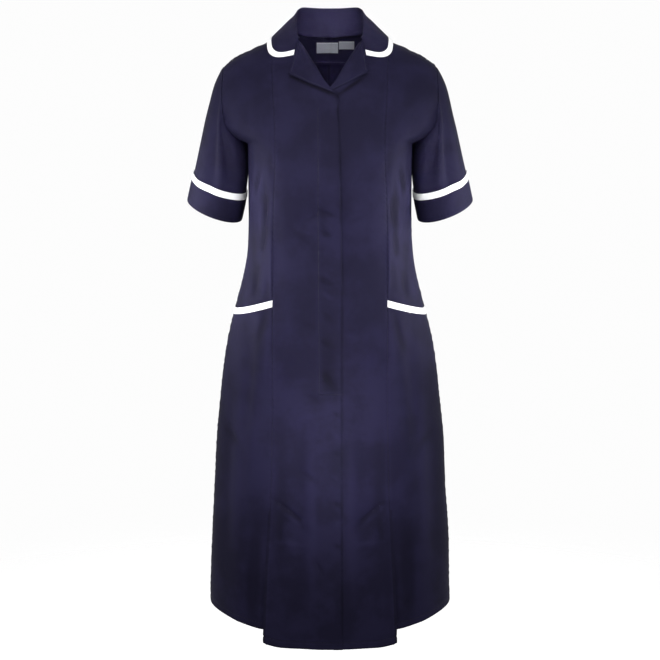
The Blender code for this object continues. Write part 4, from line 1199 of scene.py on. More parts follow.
def make_backs(sizes, look):
    """Two side backs and two backs, with a seam down the middle."""
    for side_name, side in SIDES:
        def side_back_stops(level):
            return [float(back_princess_x(level_z(level))), outer_edge(level)]

        def back_stops(level):
            start = float(back_neck_x(level)) if level > NAPE_RISE else 0.0
            return [start, float(back_princess_x(level_z(level)))]

        for name, stops, cells in (("side_back_", side_back_stops, (5,)), ("back_", back_stops, (4,))):
            cloth = panel(side, BACK, LEVELS, stops, cells, row_lines=(HEM_LINE,))
            cloth.sewn_edge(0, sizes.pucker).sewn_edge(1, sizes.pucker).sewn_top(sizes.pucker)
            cloth.groove(cloth.across_line(0)).out(FACE)
            cloth.sew_row(0)
            flap = 0 if name == "side_back_" or side == WEARERS_LEFT else None
            cloth.allowance((0, 1), flap=flap)
            turned_under(cloth, sizes.hem)
            shell(name + side_name, cloth, look["navy"], sizes.cloth)


PleatLine = namedtuple("PleatLine", "inward depth opens")
PLEAT_LINES = [
    PleatLine(0.0022, 0.0020, 0.0),
    PleatLine(0.0200, 0.0020, 0.0),
    PleatLine(0.0480, 0.0020, 0.0),
    PleatLine(0.0500, 0.0032, 0.1),
    PleatLine(0.0480, 0.0044, 0.2),
    PleatLine(0.0240, 0.0044, 0.6),
    PleatLine(-0.0040, 0.0047, 1.0),
]
PLEAT_ROWS = (1.0, 0.74, 0.48, 0.22, 0.0)


def make_pleats(sizes, look):
    """Each kick pleat folds in under the centre panel and back out to the side panel, slanted on top."""
    for side_name, side in SIDES:
        rows = []
        for share in PLEAT_ROWS:
            row = []
            for line in PLEAT_LINES:
                top = PLEAT_TOP_Z - 0.004 - PLEAT_SLANT * line.inward / PLEAT_DEPTH
                foot = hem_height(np.array(line.inward + 0.06), FRONT, line.opens < 0.15) + 0.002
                z = float(top + share * (foot - top))
                row.append((float(panel_edge_x(z)) - line.inward, z))
            rows.append(row)
        flat = np.array(rows)
        x, z = flat[..., 0], flat[..., 1]
        width, power = half_width(z), squareness(z)
        y = FRONT * front_depth(z) * (1 - np.minimum(x / width, 1) ** power) ** (1 / power)
        depth = np.array([line.depth for line in PLEAT_LINES])
        opens = np.array([line.opens for line in PLEAT_LINES])
        recess = depth + PLEAT_OPENING * opens * soft_step(PLEAT_TOP_Z - z, 0.0, 0.24)
        grid = creased(np.stack([x, y, z], axis=2), side, FRONT)
        grid[..., 1] -= FRONT * recess
        cloth = Cloth(grid, straight=True)
        cloth.face((0, FRONT, 0)).out(0.0009)
        shell("pleat_" + side_name, cloth, look["navy"], sizes.cloth)


def rise_at(x, z):
    return (z - UNDERARM_Z) / (shoulder_z(np.abs(x)) - UNDERARM_Z)


def on_yoke(x, z, facing):
    """Points of the body above the underarm, from their distances off the centre and heights."""
    rise = np.clip(rise_at(x, z), 0, SHOULDER_SEAM)
    share = np.minimum(np.abs(x) / yoke_half_width(rise), 1)
    power = yoke_squareness(rise)
    y = facing * depth_at(z, facing) * np.sqrt(1 - rise * rise) * (1 - share ** power) ** (1 / power)
    return np.stack([x, y, UNDERARM_Z + rise * (shoulder_z(np.abs(x)) - UNDERARM_Z)], axis=-1)


def out_of_yoke(x, z, facing):
    """The body's outward normals above the underarm."""
    step = 0.0008
    across = on_yoke(x + step, z, facing) - on_yoke(x - step, z, facing)
    along = on_yoke(x, z + step, facing) - on_yoke(x, z - step, facing)
    normal = unit(np.cross(across, along))
    return normal * np.sign(normal[..., 1:2] * facing + 1e-9)


def height_on_roll(distance, rises):
    return UNDERARM_Z + rises * (shoulder_z(np.abs(distance)) - UNDERARM_Z)


Lapel = namedtuple("Lapel", "tip_x tip_z notch_x notch_z")
LAPELS = {
    "right": Lapel(0.0707, -0.0783, 0.0610, -0.0466),
    "left": Lapel(0.0653, -0.0754, 0.0605, -0.0466),
}
ROLL_TOP_RISE = 0.858
GORGE_TOP = np.array([0.0545, -0.0190])  # where the seam to the collar meets the roll line
LAPEL_ROWS = 41
NOTCH_SHARE = 0.625  # of the rows lie below the notch; the rest run up the seam to the collar
GORGE_SHARE = 0.80
LAPEL_COLUMNS = 27

# The facing inside a front and its turn over the roll line: distance into the body from that line, and lift.
RollStep = namedtuple("RollStep", "into lift share")
ROLL_STEPS = [
    RollStep(0.0160, -0.0006, 0.0),
    RollStep(0.0110, -0.0006, 0.0),
    RollStep(0.0065, -0.0006, 0.0),
    RollStep(0.0030, -0.0006, 0.0),
    RollStep(0.0008, -0.0004, 0.08),
    RollStep(-0.0006, 0.0004, 0.30),
    RollStep(-0.0011, 0.0010, 0.55),
    RollStep(-0.0008, 0.0018, 0.80),
]


def make_lapels(look):
    """Each revers rolls over from the facing inside the front and lies on the front."""
    for side_name, side in SIDES:
        lapel = LAPELS[side_name]
        tip = np.array([lapel.tip_x, lapel.tip_z])
        notch = np.array([lapel.notch_x, lapel.notch_z])
        up = np.linspace(0, 1, LAPEL_ROWS)[:, None, None]
        out = np.linspace(0, 1, LAPEL_COLUMNS)[None, :, None]
        rises = np.linspace(BREAK_RISE, ROLL_TOP_RISE, LAPEL_ROWS)
        roll = roll_x(rises) - 0.0005
        roll = np.stack([roll, height_on_roll(roll, rises)], axis=1)
        gorge = notch + GORGE_SHARE * (GORGE_TOP - notch)
        bottom = roll[0] + out * (tip - roll[0])
        top = roll[-1] + out * (gorge - roll[-1])
        to_notch = np.minimum(up / NOTCH_SHARE, 1)
        past_notch = np.maximum(up - NOTCH_SHARE, 0) / (1 - NOTCH_SHARE)
        outer = tip + to_notch * (notch - tip) + past_notch * (gorge - notch)
        corners = (1 - up) * (1 - out) * roll[0] + (1 - up) * out * tip
        corners = corners + up * (1 - out) * roll[-1] + up * out * gorge
        flat = (1 - out) * roll[:, None, :] + out * outer + (1 - up) * bottom + up * top - corners
        rise = rise_at(flat[..., 0], flat[..., 1])
        clear = soft_step(rise, 0.45, 0.60)
        if side == WEARERS_RIGHT:
            under = [front_lift(s, r) for s, r in zip(flat[..., 0].ravel(), rise.ravel())]
            lifts = np.array(under).reshape(rise.shape) + FACE + 0.0013
            free = soft_step(out[..., 0], 0.10, 1.0)
        else:
            lifts = np.full(rise.shape, FACE + 0.0011)
            free = soft_step(rise, 0.43, 0.56)
        puff = 0.0026 * np.sin(math.pi * np.minimum(out[..., 0] * 1.9, 1)) * clear
        less_above = 1 - 0.6 * soft_step(up[..., 0], 0.5, 0.8)
        flare = REVERS_FLARE * soft_step(out[..., 0], 0.30, 1.0) * less_above * free
        lifts = lifts + puff + flare

        across = unit(flat[:, 1] - flat[:, 0])
        turned, turned_lifts = [], []
        for step in ROLL_STEPS:
            turned.append(flat[:, 0] + across * step.into)
            base = np.where(step.share > 0, step.share * (lifts[:, 0] - 0.0026), 0.0)
            turned_lifts.append(base + step.lift)
        whole = np.concatenate([np.stack(turned, axis=1), flat], axis=1)
        lift = np.concatenate([np.stack(turned_lifts, axis=1), lifts], axis=1)
        x, z = whole[..., 0], whole[..., 1]
        points = on_yoke(x, z, FRONT) + out_of_yoke(x, z, FRONT) * lift[..., None]
        cloth = Cloth.of(points * np.array([side, 1, 1]))
        cloth.face((0, -FRONT, 0))
        if (cloth.normal[:, -3, 1] * FRONT).sum() < 0:
            cloth.normal = -cloth.normal
        edge = cloth.near_edge(1)
        low = cloth.along
        turned_columns = len(ROLL_STEPS)
        away = np.minimum(edge, np.where(np.arange(edge.shape[1]) >= turned_columns, low, FAR))
        # The revers' edge itself also gets the seam's darker tone: painted shade along the edge.
        cloth.stitch = np.minimum(np.abs(away - STITCH_INSET), away)
        line = [(4, turned_columns + 3)]
        number = np.arange(cloth.points.shape[1])
        for row in range(4, cloth.points.shape[0] - 2):
            line.append((row, float(np.interp(-STITCH_INSET, -edge[row], number))))
        sew_line(cloth, "navy", line[1:])
        columns = np.arange(turned_columns + 2, cloth.points.shape[1] - 3)
        rows = np.arange(low.shape[0])
        heights = [float(np.interp(STITCH_INSET, low[:, column], rows)) for column in columns]
        sew_line(cloth, "navy", list(zip(heights, columns)))
        shell("lapel_" + side_name, cloth, look["navy"], REVERS_CLOTH, rounded=True)


# The collar, from the centre of the back to its front end: the share of rise of its seam to the neck,
# its fold, and its outer edge.
Station = namedtuple("Station", "facing seam_rise fold_x fold_y fold_z edge_x edge_z")
COLLAR = [
    Station(BACK, 0.846, 0.0000, 0.0680, 0.0440, 0.0000, -0.0300),
    Station(BACK, 0.860, 0.0160, 0.0673, 0.0441, 0.0210, -0.0302),
    Station(BACK, 0.892, 0.0310, 0.0650, 0.0446, 0.0420, -0.0303),
    Station(BACK, 0.925, 0.0440, 0.0590, 0.0450, 0.0630, -0.0297),
    Station(BACK, 0.955, 0.0535, 0.0480, 0.0432, 0.0850, -0.0268),
    Station(BACK, 0.980, 0.0575, 0.0340, 0.0368, 0.1010, -0.0223),
    Station(BACK, 0.996, 0.0590, 0.0180, 0.0285, 0.1070, -0.0182),
    Station(FRONT, 0.998, 0.0595, 0.0020, 0.0195, 0.1088, -0.0172),
    Station(FRONT, 0.988, 0.0592, -0.0120, 0.0110, 0.1088, -0.0250),
    Station(FRONT, 0.974, 0.0588, -0.0240, 0.0035, 0.1080, -0.0325),
    Station(FRONT, 0.961, 0.0582, -0.0330, -0.0020, 0.1052, -0.0405),
    Station(FRONT, 0.948, 0.0576, -0.0400, -0.0065, 0.0985, -0.0462),
    Station(FRONT, 0.934, 0.0568, -0.0455, -0.0100, 0.0890, -0.0484),
    Station(FRONT, 0.918, 0.0560, -0.0500, -0.0128, 0.0755, -0.0472),
    Station(FRONT, 0.903, 0.0550, -0.0535, -0.0150, 0.0622, -0.0448),
]
STAND_SHARES = (0.0, 0.45, 0.86)
FALL_ROWS = 5


def clear_of_body(point, clearance):
    """Push a point out until it lies at least so far off the body above the underarm."""
    x, y, z = point
    facing = FRONT if y < 0 else BACK
    rise = max(float(rise_at(x, z)), 0.0)
    width, power = yoke_half_width(min(rise, 1)), yoke_squareness(min(rise, 1))
    reach = float(depth_at(z, facing) * (1 - min(abs(x) / width, 1) ** power) ** (1 / power))
    off = math.hypot(rise, y / reach)
    least = 1 + clearance / 0.135
    if off >= least:
        return point
    grow = least / off
    top = float(shoulder_z(abs(x))) - UNDERARM_Z
    return np.array([x, y * grow, UNDERARM_Z + rise * grow * top])


def collar_station(station):
    """The collar's line from its seam up the stand, over the fold and down to its outer edge."""
    if station.facing == BACK:
        seam_x = float(back_neck_x(station.seam_rise))
    else:
        seam_x = float(roll_x(station.seam_rise)) - 0.0022
    seam = on_yoke(np.array(seam_x), height_on_roll(seam_x, station.seam_rise), station.facing)
    fold = np.array([station.fold_x, station.fold_y, station.fold_z])
    edge = on_yoke(np.array(station.edge_x), np.array(station.edge_z), station.facing)
    edge = clear_of_body(edge, COLLAR_REST)
    seam = seam + np.array([0, 0, 0.0018])
    fall = edge - fold
    length = np.linalg.norm(fall)
    crest = fold + np.array([0, 0, 0.0012])
    stand = [seam + share * (fold - seam) for share in STAND_SHARES]
    shares = list(np.linspace(0.06, 1 - COLLAR_TRIM / length, FALL_ROWS)) + [1.0]
    bow = np.array([station.fold_x, station.fold_y, 0])
    bow = bow / np.linalg.norm(bow) * 0.35 + np.array([0, 0, 1])
    down = [fold + s * fall + bow * 0.012 * s * (1 - s) * length / 0.07 for s in shares]
    down = [clear_of_body(point, COLLAR_REST) for point in down]
    return stand + [crest] + down


def make_collar(look):
    """A one-piece collar on a short stand, its outer edge bound with white tape."""
    half = [np.array(collar_station(station)) for station in COLLAR]
    mirrored = [line * np.array([-1, 1, 1]) for line in reversed(half[1:])]
    grid = np.stack(mirrored + half, axis=1)
    cloth = Cloth(grid, spacing=0.0030)
    cloth.face((0, 0, 1))
    if cloth.normal[-3, cloth.points.shape[1] // 2, 1] < 0:
        cloth.normal = -cloth.normal
    cloth.out(FACE)
    trim = tape(cloth, COLLAR_TRIM, 0.0008, 0.008, thick=0.0006, behind=0.0011)
    cloth.stitch = np.minimum(np.abs(cloth.along - 0.004), cloth.stitch)
    shell("collar", cloth, look["navy"], COLLAR_CLOTH, rounded=True)
    shell("collar_trim", trim, look["white"], TAPE_CLOTH)


SLEEVE_HEM = np.array([0.2055, 0.0, -0.3110])
SLEEVE_HEM_OUT = np.array([0.0465, 0.0, 0.0175])
SLEEVE_HEM_FRONT = np.array([0.0, -0.0660, -0.0120])
SLEEVE_FALL = np.array([0.24, 0.02, -0.97])
SLEEVE_ROWS = 6
SLEEVE_CLEAR_X = 0.1462
CUFF_CLEAR_X = 0.1503


def armhole_ring():
    """The armhole from the underarm up the front and down the back, with the body's normals there."""
    ring, out = [], []
    front = [(0.0, FRONT)] + [(rise, FRONT) for rise in RISES[:-1]] + [(SHOULDER_SEAM, FRONT)]
    back = [(rise, BACK) for rise in reversed(RISES[:-1])]
    for rise, facing in front + back:
        x = float(armhole_x(rise))
        level = UNDERARM_Z + rise * (float(shoulder_z(x)) - UNDERARM_Z)
        point = on_yoke(np.array(x), np.array(level), facing)
        beside = on_yoke(np.array([x - 0.004, x]), np.array([level, level - 0.004]), facing)
        normal = np.cross(beside[0] - point, beside[1] - point)
        size = np.linalg.norm(normal)
        normal = normal / size if size > 1e-12 else np.array([1.0, 0, 0])
        if normal @ (point - np.array([0.10, 0, -0.12])) < 0:
            normal = -normal
        if rise == 0.0:
            normal = np.array([1.0, 0, 0])
        if rise == SHOULDER_SEAM:
            normal = np.array([0.62, 0, 0.78])
            point[1] = 0.0
        ring.append(point)
        out.append(normal)
    return np.array(ring), np.array(out)


def sleeve_grid():
    ring, out = armhole_ring()
    steps = np.linalg.norm(np.roll(ring, -1, axis=0) - ring, axis=1)
    top = len(RISES)
    up = np.concatenate([[0], np.cumsum(steps[:top])]) / np.sum(steps[:top])
    down = np.concatenate([[0], np.cumsum(steps[top:-1])]) / np.sum(steps[top:])
    angle = np.concatenate([math.pi * (1 - up), -math.pi * down[1:]])
    columns = []
    for point, normal, turn in zip(ring, out, angle):
        under = (1 - math.cos(turn)) / 2
        lift = 0.0018 * float(soft_step(under, 0.30, 0.72))
        away = np.array([math.sqrt(max(1 - under, 0)), -0.4 * math.sin(turn), 0.5 - 1.1 * (1 - under)])
        start = point + normal * lift + away / np.linalg.norm(away) * 0.0009
        hem = SLEEVE_HEM + SLEEVE_HEM_OUT * math.cos(turn) + SLEEVE_HEM_FRONT * math.sin(turn)
        leave = np.array([0.018 * (1 - under), -0.007 * math.sin(turn), -0.012 - 0.036 * under])
        arrive = hem - SLEEVE_FALL * (0.12 - 0.07 * under)
        s = np.linspace(0, 1, 61)[:, None]
        curve = (1 - s) ** 3 * start + 3 * (1 - s) ** 2 * s * (start + leave)
        curve = curve + 3 * (1 - s) * s * s * arrive + s ** 3 * hem
        length = np.concatenate([[0], np.cumsum(np.linalg.norm(np.diff(curve, axis=0), axis=1))])
        marks = [length[-1], length[-1] - 0.020, length[-1] - CUFF_DEPTH + CUFF_TRIM, length[-1] - CUFF_DEPTH]
        marks += list(np.linspace(length[-1] - CUFF_DEPTH, 0, SLEEVE_ROWS + 1)[1:])
        columns.append([[np.interp(m, length, curve[:, axis]) for axis in range(3)] for m in marks])
    grid = np.array(columns).transpose(1, 0, 2)
    for index, row in enumerate(grid):
        least = CUFF_CLEAR_X if index < 4 else SLEEVE_CLEAR_X
        least += 0.0022 * (index == 4)
        row[:, 0] = np.where(row[:, 0] < least, least, row[:, 0])
    return grid


# Creases of the sleeve: rows counted from the hem, columns by share round from the underarm forwards.
SleeveCrease = namedtuple("SleeveCrease", "row0 round0 row1 round1 width depth")
SLEEVE_CREASES = [
    SleeveCrease(9.0, 0.20, 5.5, 0.10, 0.045, -0.0045),
    SleeveCrease(9.0, 0.06, 6.0, 0.22, 0.045, 0.0030),
    SleeveCrease(8.5, 0.42, 2.0, 0.38, 0.040, 0.0035),
    SleeveCrease(8.0, 0.33, 4.5, 0.30, 0.040, -0.0030),
    SleeveCrease(8.5, 0.64, 3.5, 0.68, 0.050, -0.0035),
    SleeveCrease(9.0, 0.80, 5.0, 0.90, 0.045, -0.0035),
]


def sleeve_folds(grid, side):
    """The sleeve with its large folds pressed in, as in its solid."""
    normal = normals(grid, (-side, 0, 0), closed=True)
    rows = np.arange(len(grid))[:, None] * np.ones((1, grid.shape[1]))
    shares = np.arange(grid.shape[1])[None, :] / grid.shape[1] * np.ones((len(grid), 1))
    move = np.zeros(rows.shape)
    for crease in SLEEVE_CREASES:
        along = np.clip((rows - crease.row0) / (crease.row1 - crease.row0), 0, 1)
        middle = crease.round0 + along * (crease.round1 - crease.round0)
        past = np.maximum(0, np.maximum(rows - crease.row0, crease.row1 - rows)) / 2
        off = (shares - middle) / crease.width
        move += crease.depth * np.exp(-off ** 2 - past ** 2)
    near_body = soft_step(np.abs(grid[..., 0]), 0.150, 0.168)
    move *= near_body * (1 - soft_step(rows, 7.5, 9.0)) * soft_step(rows, 0.5, 3.5)
    return grid + normal * move[..., None]


def make_sleeves(sizes, look):
    """Short set-in sleeves with a turned-up cuff, whose top edge is bound with white tape."""
    for side_name, side in SIDES:
        grid = sleeve_folds(sleeve_grid() * np.array([side, 1, 1]), side)
        sleeve = Cloth(grid, closed=True)
        sleeve.face((-side, 0, 0))
        x, y, z = (sleeve.points[..., axis] for axis in range(3))
        free = soft_step(sleeve.along[-1:] - sleeve.along, 0.004, 0.03) * soft_step(np.abs(x), 0.150, 0.168)
        sleeve.out(ripple(x, y, z, 0.0012) * free).face((-side, 0, 0))
        sleeve.sewn_top(sizes.pucker).out(FACE)

        cuff_rows = [CUFF_DEPTH, CUFF_DEPTH - 0.0012]
        cuff_rows += list(np.linspace(CUFF_DEPTH - 0.004, 0.003, 13)) + [0.0012]
        face, face_normal = strip(sleeve, cuff_rows, from_top=False)
        edge, edge_normal = strip(sleeve, [0.0, 0.003], from_top=False)
        out = unit(edge[0] - edge[1])
        inner, inner_normal = strip(sleeve, CUFF_INSIDE, from_top=False)
        turn = [edge[0] + edge_normal[0] * lift + out * reach for lift, reach in CUFF_TURN]
        points = np.concatenate([inner[::-1] - inner_normal[::-1] * 0.0014, turn[::-1],
                                 face[::-1] + face_normal[::-1] * 0.0016], axis=0)
        cuff = Cloth.of(points, closed=True)
        cuff.face((-side, 0, 0))
        if (cuff.normal[-4] * face_normal[-4]).sum() < 0:
            cuff.normal = -cuff.normal
        top = cuff.along[-1:] - cuff.along
        cuff.stitch = np.abs(top - 0.0125)
        trim = tape(cuff, CUFF_TRIM, 0.0008, 0.007, thick=0.0005, behind=0.0012)
        sleeve.set_in((side * 0.10, 0, -0.12))
        shell("sleeve_" + side_name, sleeve, look["navy"], sizes.cloth)
        shell("cuff_" + side_name, cuff, look["navy"], CUFF_CLOTH, rounded=True)
        shell("cuff_trim_" + side_name, trim, look["white"], TAPE_CLOTH)


FACING_LIFT = 0.0033
LABEL_LIFT = 0.0054
Patch = namedtuple("Patch", "name x0 x1 drop0 drop1 columns")
PATCHES = [
    Patch("neck_label", -0.0248, 0.0153, 0.0040, 0.0220, 21),
    Patch("size_label", 0.0171, 0.0445, 0.0020, 0.0150, 15),
]


def make_neck_inside(sizes, look):
    """A facing inside the back of the neck, with two bare labels sewn to it."""
    stops = np.linspace(-1, 1, 15)
    rows = []
    for drop in (FACING_DEPTH, 0.028, 0.014, 0.0012):
        row = []
        for stop in stops:
            rise = NAPE_RISE + (0.980 - NAPE_RISE) * abs(stop) ** 1.6
            x = float(back_neck_x(rise)) * (1 if stop >= 0 else -1) * (1 + drop * 2.0)
            z = float(height_on_roll(back_neck_x(rise), rise)) - drop
            row.append(on_yoke(np.array(x), np.array(z), BACK))
        rows.append(row)
    facing = Cloth(np.array(rows), straight=True)
    facing.face((0, -1, 0))
    facing.stitch = np.abs(facing.along - FACING_STITCH)
    facing.out(FACING_LIFT - 0.0001)
    sew_across(facing, "navy", row_at(facing, FACING_STITCH))
    shell("back_neck_facing", facing, look["navy"], sizes.cloth)

    nape_z = float(height_on_roll(np.array(0.0), NAPE_RISE))
    for patch in PATCHES:
        x = np.linspace(patch.x0, patch.x1, patch.columns)
        rows = []
        for drop in np.linspace(patch.drop1, patch.drop0, 9):
            rows.append([on_yoke(np.array(value), np.array(nape_z - drop), BACK) for value in x])
        label = Cloth.of(np.array(rows))
        label.face((0, -1, 0))
        share = label.along / label.along[-1:]
        side = np.sin(math.pi * label.across / label.across[:, -1:])
        label.out(LABEL_LIFT - 0.0002 + 0.0012 * (1 - share) ** 2 * (1 - 0.4 * side))
        label.stitch = np.abs(label.along[-1:] - label.along - 0.0015)
        sew_across(label, "white", len(rows) - 1.6)
        shell(patch.name, label, look["label"], THIN_CLOTH)


def make_stitches(sizes, look):
    """Every row of stitches, joined into one piece for each colour of thread."""
    for color, slot in (("navy", "front_right_cloth"), ("white", "collar_trim_cloth")):
        points, faces = thread.mesh(color, sizes.stitch, sizes.stitch_gap, sizes.thread)
        mesh = bpy.data.meshes.new(color + "_stitches")
        mesh.from_pydata(points.tolist(), [], faces)
        piece = bpy.data.objects.new(color + "_stitches", mesh)
        bpy.context.scene.collection.objects.link(piece)
        mesh.materials.append(look[color + "_thread"])
        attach(piece, ROOT)


class Value:
    """One output of a node, so that sums and products of it are written as such."""

    def __init__(self, graph, socket):
        self.graph = graph
        self.socket = socket

    def math(self, operation, *operands):
        return self.graph.node("ShaderNodeMath", dict(enumerate(operands)), operation=operation)

    def __add__(self, other):
        return self.math("ADD", self, other)

    def __radd__(self, other):
        return self.math("ADD", other, self)

    def __sub__(self, other):
        return self.math("SUBTRACT", self, other)

    def __rsub__(self, other):
        return self.math("SUBTRACT", other, self)

    def __mul__(self, other):
        return self.math("MULTIPLY", self, other)

    def __rmul__(self, other):
        return self.math("MULTIPLY", other, self)

    def __neg__(self):
        return self.math("MULTIPLY", self, -1.0)

    def wave(self):
        return self.math("SINE", self)

    def rise(self, low, high):
        """0 below low, 1 above high, and smooth between them."""
        sockets = {0: self, 1: low, 2: high, 3: 0.0, 4: 1.0}
        return self.graph.node("ShaderNodeMapRange", sockets, interpolation_type="SMOOTHSTEP")


class Graph:
    """A material's nodes."""

    def __init__(self, name):
        self.material = bpy.data.materials.new(name)
        self.material.use_nodes = True
        self.tree = self.material.node_tree
        self.shader = self.tree.nodes["Principled BSDF"]

    def node(self, kind, sockets=(), output=0, **settings):
        """Add a node, make its settings, then give its sockets their values or links."""
        made = self.tree.nodes.new(kind)
        for name, setting in settings.items():
            setattr(made, name, setting)
        for socket, value in dict(sockets).items():
            if isinstance(value, Value):
                self.tree.links.new(value.socket, made.inputs[socket])
            else:
                made.inputs[socket].default_value = value
        return Value(self, made.outputs[output])

    def mixed(self, factor, first, second):
        """One colour going over into another."""
        sockets = {0: factor, 6: first, 7: second}
        return self.node("ShaderNodeMix", sockets, output=2, data_type="RGBA")

    def noise(self, place, scale, detail=3.0, rough=0.5):
        sockets = {"Vector": place, "Scale": scale, "Detail": detail, "Roughness": rough}
        return self.node("ShaderNodeTexNoise", sockets)

    def set(self, **sockets):
        """Set the shader's own sockets, their names written with low lines for spaces."""
        for name, value in sockets.items():
            socket = self.shader.inputs[name.replace("_", " ")]
            if isinstance(value, Value):
                self.tree.links.new(value.socket, socket)
            else:
                socket.default_value = value
        return self.material

    def bumped(self, height, distance, strength=1.0, normal=None):
        sockets = {"Height": height, "Distance": distance, "Strength": strength}
        if normal is not None:
            sockets["Normal"] = normal
        return self.node("ShaderNodeBump", sockets)


def scaled(color, by):
    return (color[0] * by, color[1] * by, color[2] * by, 1.0)


def across_and_along(graph):
    """Places across and along the cloth as it was cut."""
    cut = graph.node("ShaderNodeUVMap")
    return [graph.node("ShaderNodeSeparateXYZ", {0: cut}, output=axis) for axis in (0, 1)]


def twill(u, v, pitch):
    """Diagonal ribs of a twill weave, running over the cloth as it was cut."""
    ribs = ((u * 0.8 + v) * (2 * math.pi / pitch)).wave()
    threads = (u * (2 * math.pi / (pitch * 0.6))).wave() * (v * (2 * math.pi / (pitch * 0.6))).wave()
    return ribs * 0.5 + 0.5 + threads * 0.15


def navy_cloth(colours):
    """Polyester and cotton twill: dark, smooth and faintly satin, a little worn along its seams, with painted
    shade and highlight in its creases and painted shadows on the fronts.
    """
    graph = Graph("navy_twill")
    u, v = across_and_along(graph)
    weave = twill(u, v, 0.0010)
    place = graph.node("ShaderNodeTexCoord", output=3)
    cloud = graph.noise(place, 13.0, 5.0, 0.60)
    slub = graph.noise(place, 240.0, 2.0, 0.5)
    distance = graph.node("ShaderNodeAttribute", output=2, attribute_name="stitch")
    seam = 1.0 - distance.rise(0.0, 0.0016)
    beside = (1.0 - distance.rise(0.0015, 0.0075))
    fold = graph.node("ShaderNodeAttribute", output=2, attribute_name="fold")
    base = tuple(colours.navy)
    tone = graph.mixed(cloud.rise(0.38, 0.62), scaled(base, 0.78), scaled(base, 1.24))
    # Painted highlight on the ridges of the fine creases and painted shade in their valleys; darker still for
    # the painted shadows under the revers, along the lap and on the placket.
    tone = graph.mixed(fold.rise(0.0, 1.0) * 0.55, tone, scaled(base, 1.75))
    tone = graph.mixed((-fold).rise(0.0, 1.0) * 0.60, tone, scaled(base, 0.35))
    tone = graph.mixed((-fold).rise(1.0, 2.0) * 0.80, tone, scaled(base, 0.12))
    tone = graph.mixed(weave * 0.28, tone, scaled(base, 1.45))
    tone = graph.mixed(beside * (1.0 - seam) * 0.22, tone, scaled(base, 1.5))
    tone = graph.mixed(seam * 0.40, tone, scaled(base, 0.50))
    pucker = (v * 620.0 + (u * 210.0).wave() * 1.4).wave() * beside * (1.0 - seam)
    relief = graph.bumped(weave * 0.00009 + slub * 0.00010, 1.0, 0.8)
    relief = graph.bumped(pucker * 0.00022 + cloud * 0.0026, 1.0, 0.7, relief)
    rough = 0.54 + cloud * 0.12 + slub * 0.05 - beside * 0.03
    return graph.set(
        Base_Color=tone, Roughness=rough, Normal=relief, Specular_IOR_Level=0.05,
        Sheen_Weight=0.008, Sheen_Roughness=0.45, Sheen_Tint=(0.52, 0.50, 0.72, 1.0),
    )


def white_tape(colours):
    """Bright woven tape with fine ribs across it."""
    graph = Graph("white_tape")
    u, v = across_and_along(graph)
    place = graph.node("ShaderNodeTexCoord", output=3)
    ribs = (u * (2 * math.pi / 0.0011)).wave() * 0.5 + 0.5
    picks = (v * (2 * math.pi / 0.0006)).wave()
    cloud = graph.noise(place, 60.0, 3.0, 0.5)
    distance = graph.node("ShaderNodeAttribute", output=2, attribute_name="stitch")
    seam = 1.0 - distance.rise(0.0, 0.0008)
    white = tuple(colours.white)
    tone = graph.mixed(cloud, scaled(white, 0.955), scaled(white, 1.0))
    tone = graph.mixed(seam * 0.35 + ribs * 0.05, tone, scaled(white, 0.80))
    relief = graph.bumped(ribs * 0.00008 + picks * 0.00002 - seam * 0.00020, 1.0, 0.8)
    rough = 0.66 + cloud * 0.14
    return graph.set(Base_Color=tone, Roughness=rough, Normal=relief, Specular_IOR_Level=0.35)


def label_cloth(colours):
    """Grey woven label with a damask ground and nothing on it."""
    graph = Graph("label_satin")
    weave = twill(*across_and_along(graph), 0.0007)
    place = graph.node("ShaderNodeTexCoord", output=3)
    cloud = graph.noise(place, 120.0, 3.0, 0.5)
    grey = tuple(colours.label)
    tone = graph.mixed(weave * 0.4 + cloud * 0.3, scaled(grey, 0.88), scaled(grey, 1.16))
    relief = graph.bumped(weave * 0.00006 + cloud * 0.00010, 1.0, 0.8)
    rough = 0.42 + cloud * 0.2
    return graph.set(Base_Color=tone, Roughness=rough, Normal=relief, Specular_IOR_Level=0.5)


def thread_finish(name, color, lightness):
    graph = Graph(name)
    place = graph.node("ShaderNodeTexCoord", output=3)
    twist = graph.noise(place, 2600.0, 1.0, 0.5)
    tone = graph.mixed(twist, scaled(color, lightness * 0.85), scaled(color, lightness * 1.15))
    rough = 0.42 + twist * 0.2
    return graph.set(Base_Color=tone, Roughness=rough)


looks = {}


def finishes():
    """The materials, made once."""
    if not looks:
        colours = bpy.context.scene.dress_colours
        looks["navy"] = navy_cloth(colours)
        looks["white"] = white_tape(colours)
        looks["label"] = label_cloth(colours)
        looks["navy_thread"] = thread_finish("navy_thread", tuple(colours.navy), 0.85)
        looks["white_thread"] = thread_finish("white_thread", tuple(colours.white), 0.9)
    return looks


def floor_finish(color):
    """Pale paper that fades out all round."""
    graph = Graph("studio_floor")
    place = graph.node("ShaderNodeTexCoord", output=3)
    far = graph.node("ShaderNodeVectorMath", {0: place}, output=1, operation="LENGTH")
    grain = graph.noise(place, 40.0, 2.0, 0.5)
    tone = graph.mixed(grain, scaled(color, 0.99), scaled(color, 1.0))
    return graph.set(
        Base_Color=tone, Roughness=0.9, Specular_IOR_Level=0.1, Emission_Color=(1, 1, 1, 1),
        Emission_Strength=0.55, Alpha=1.0 - far.rise(1.45, 2.3),
    )


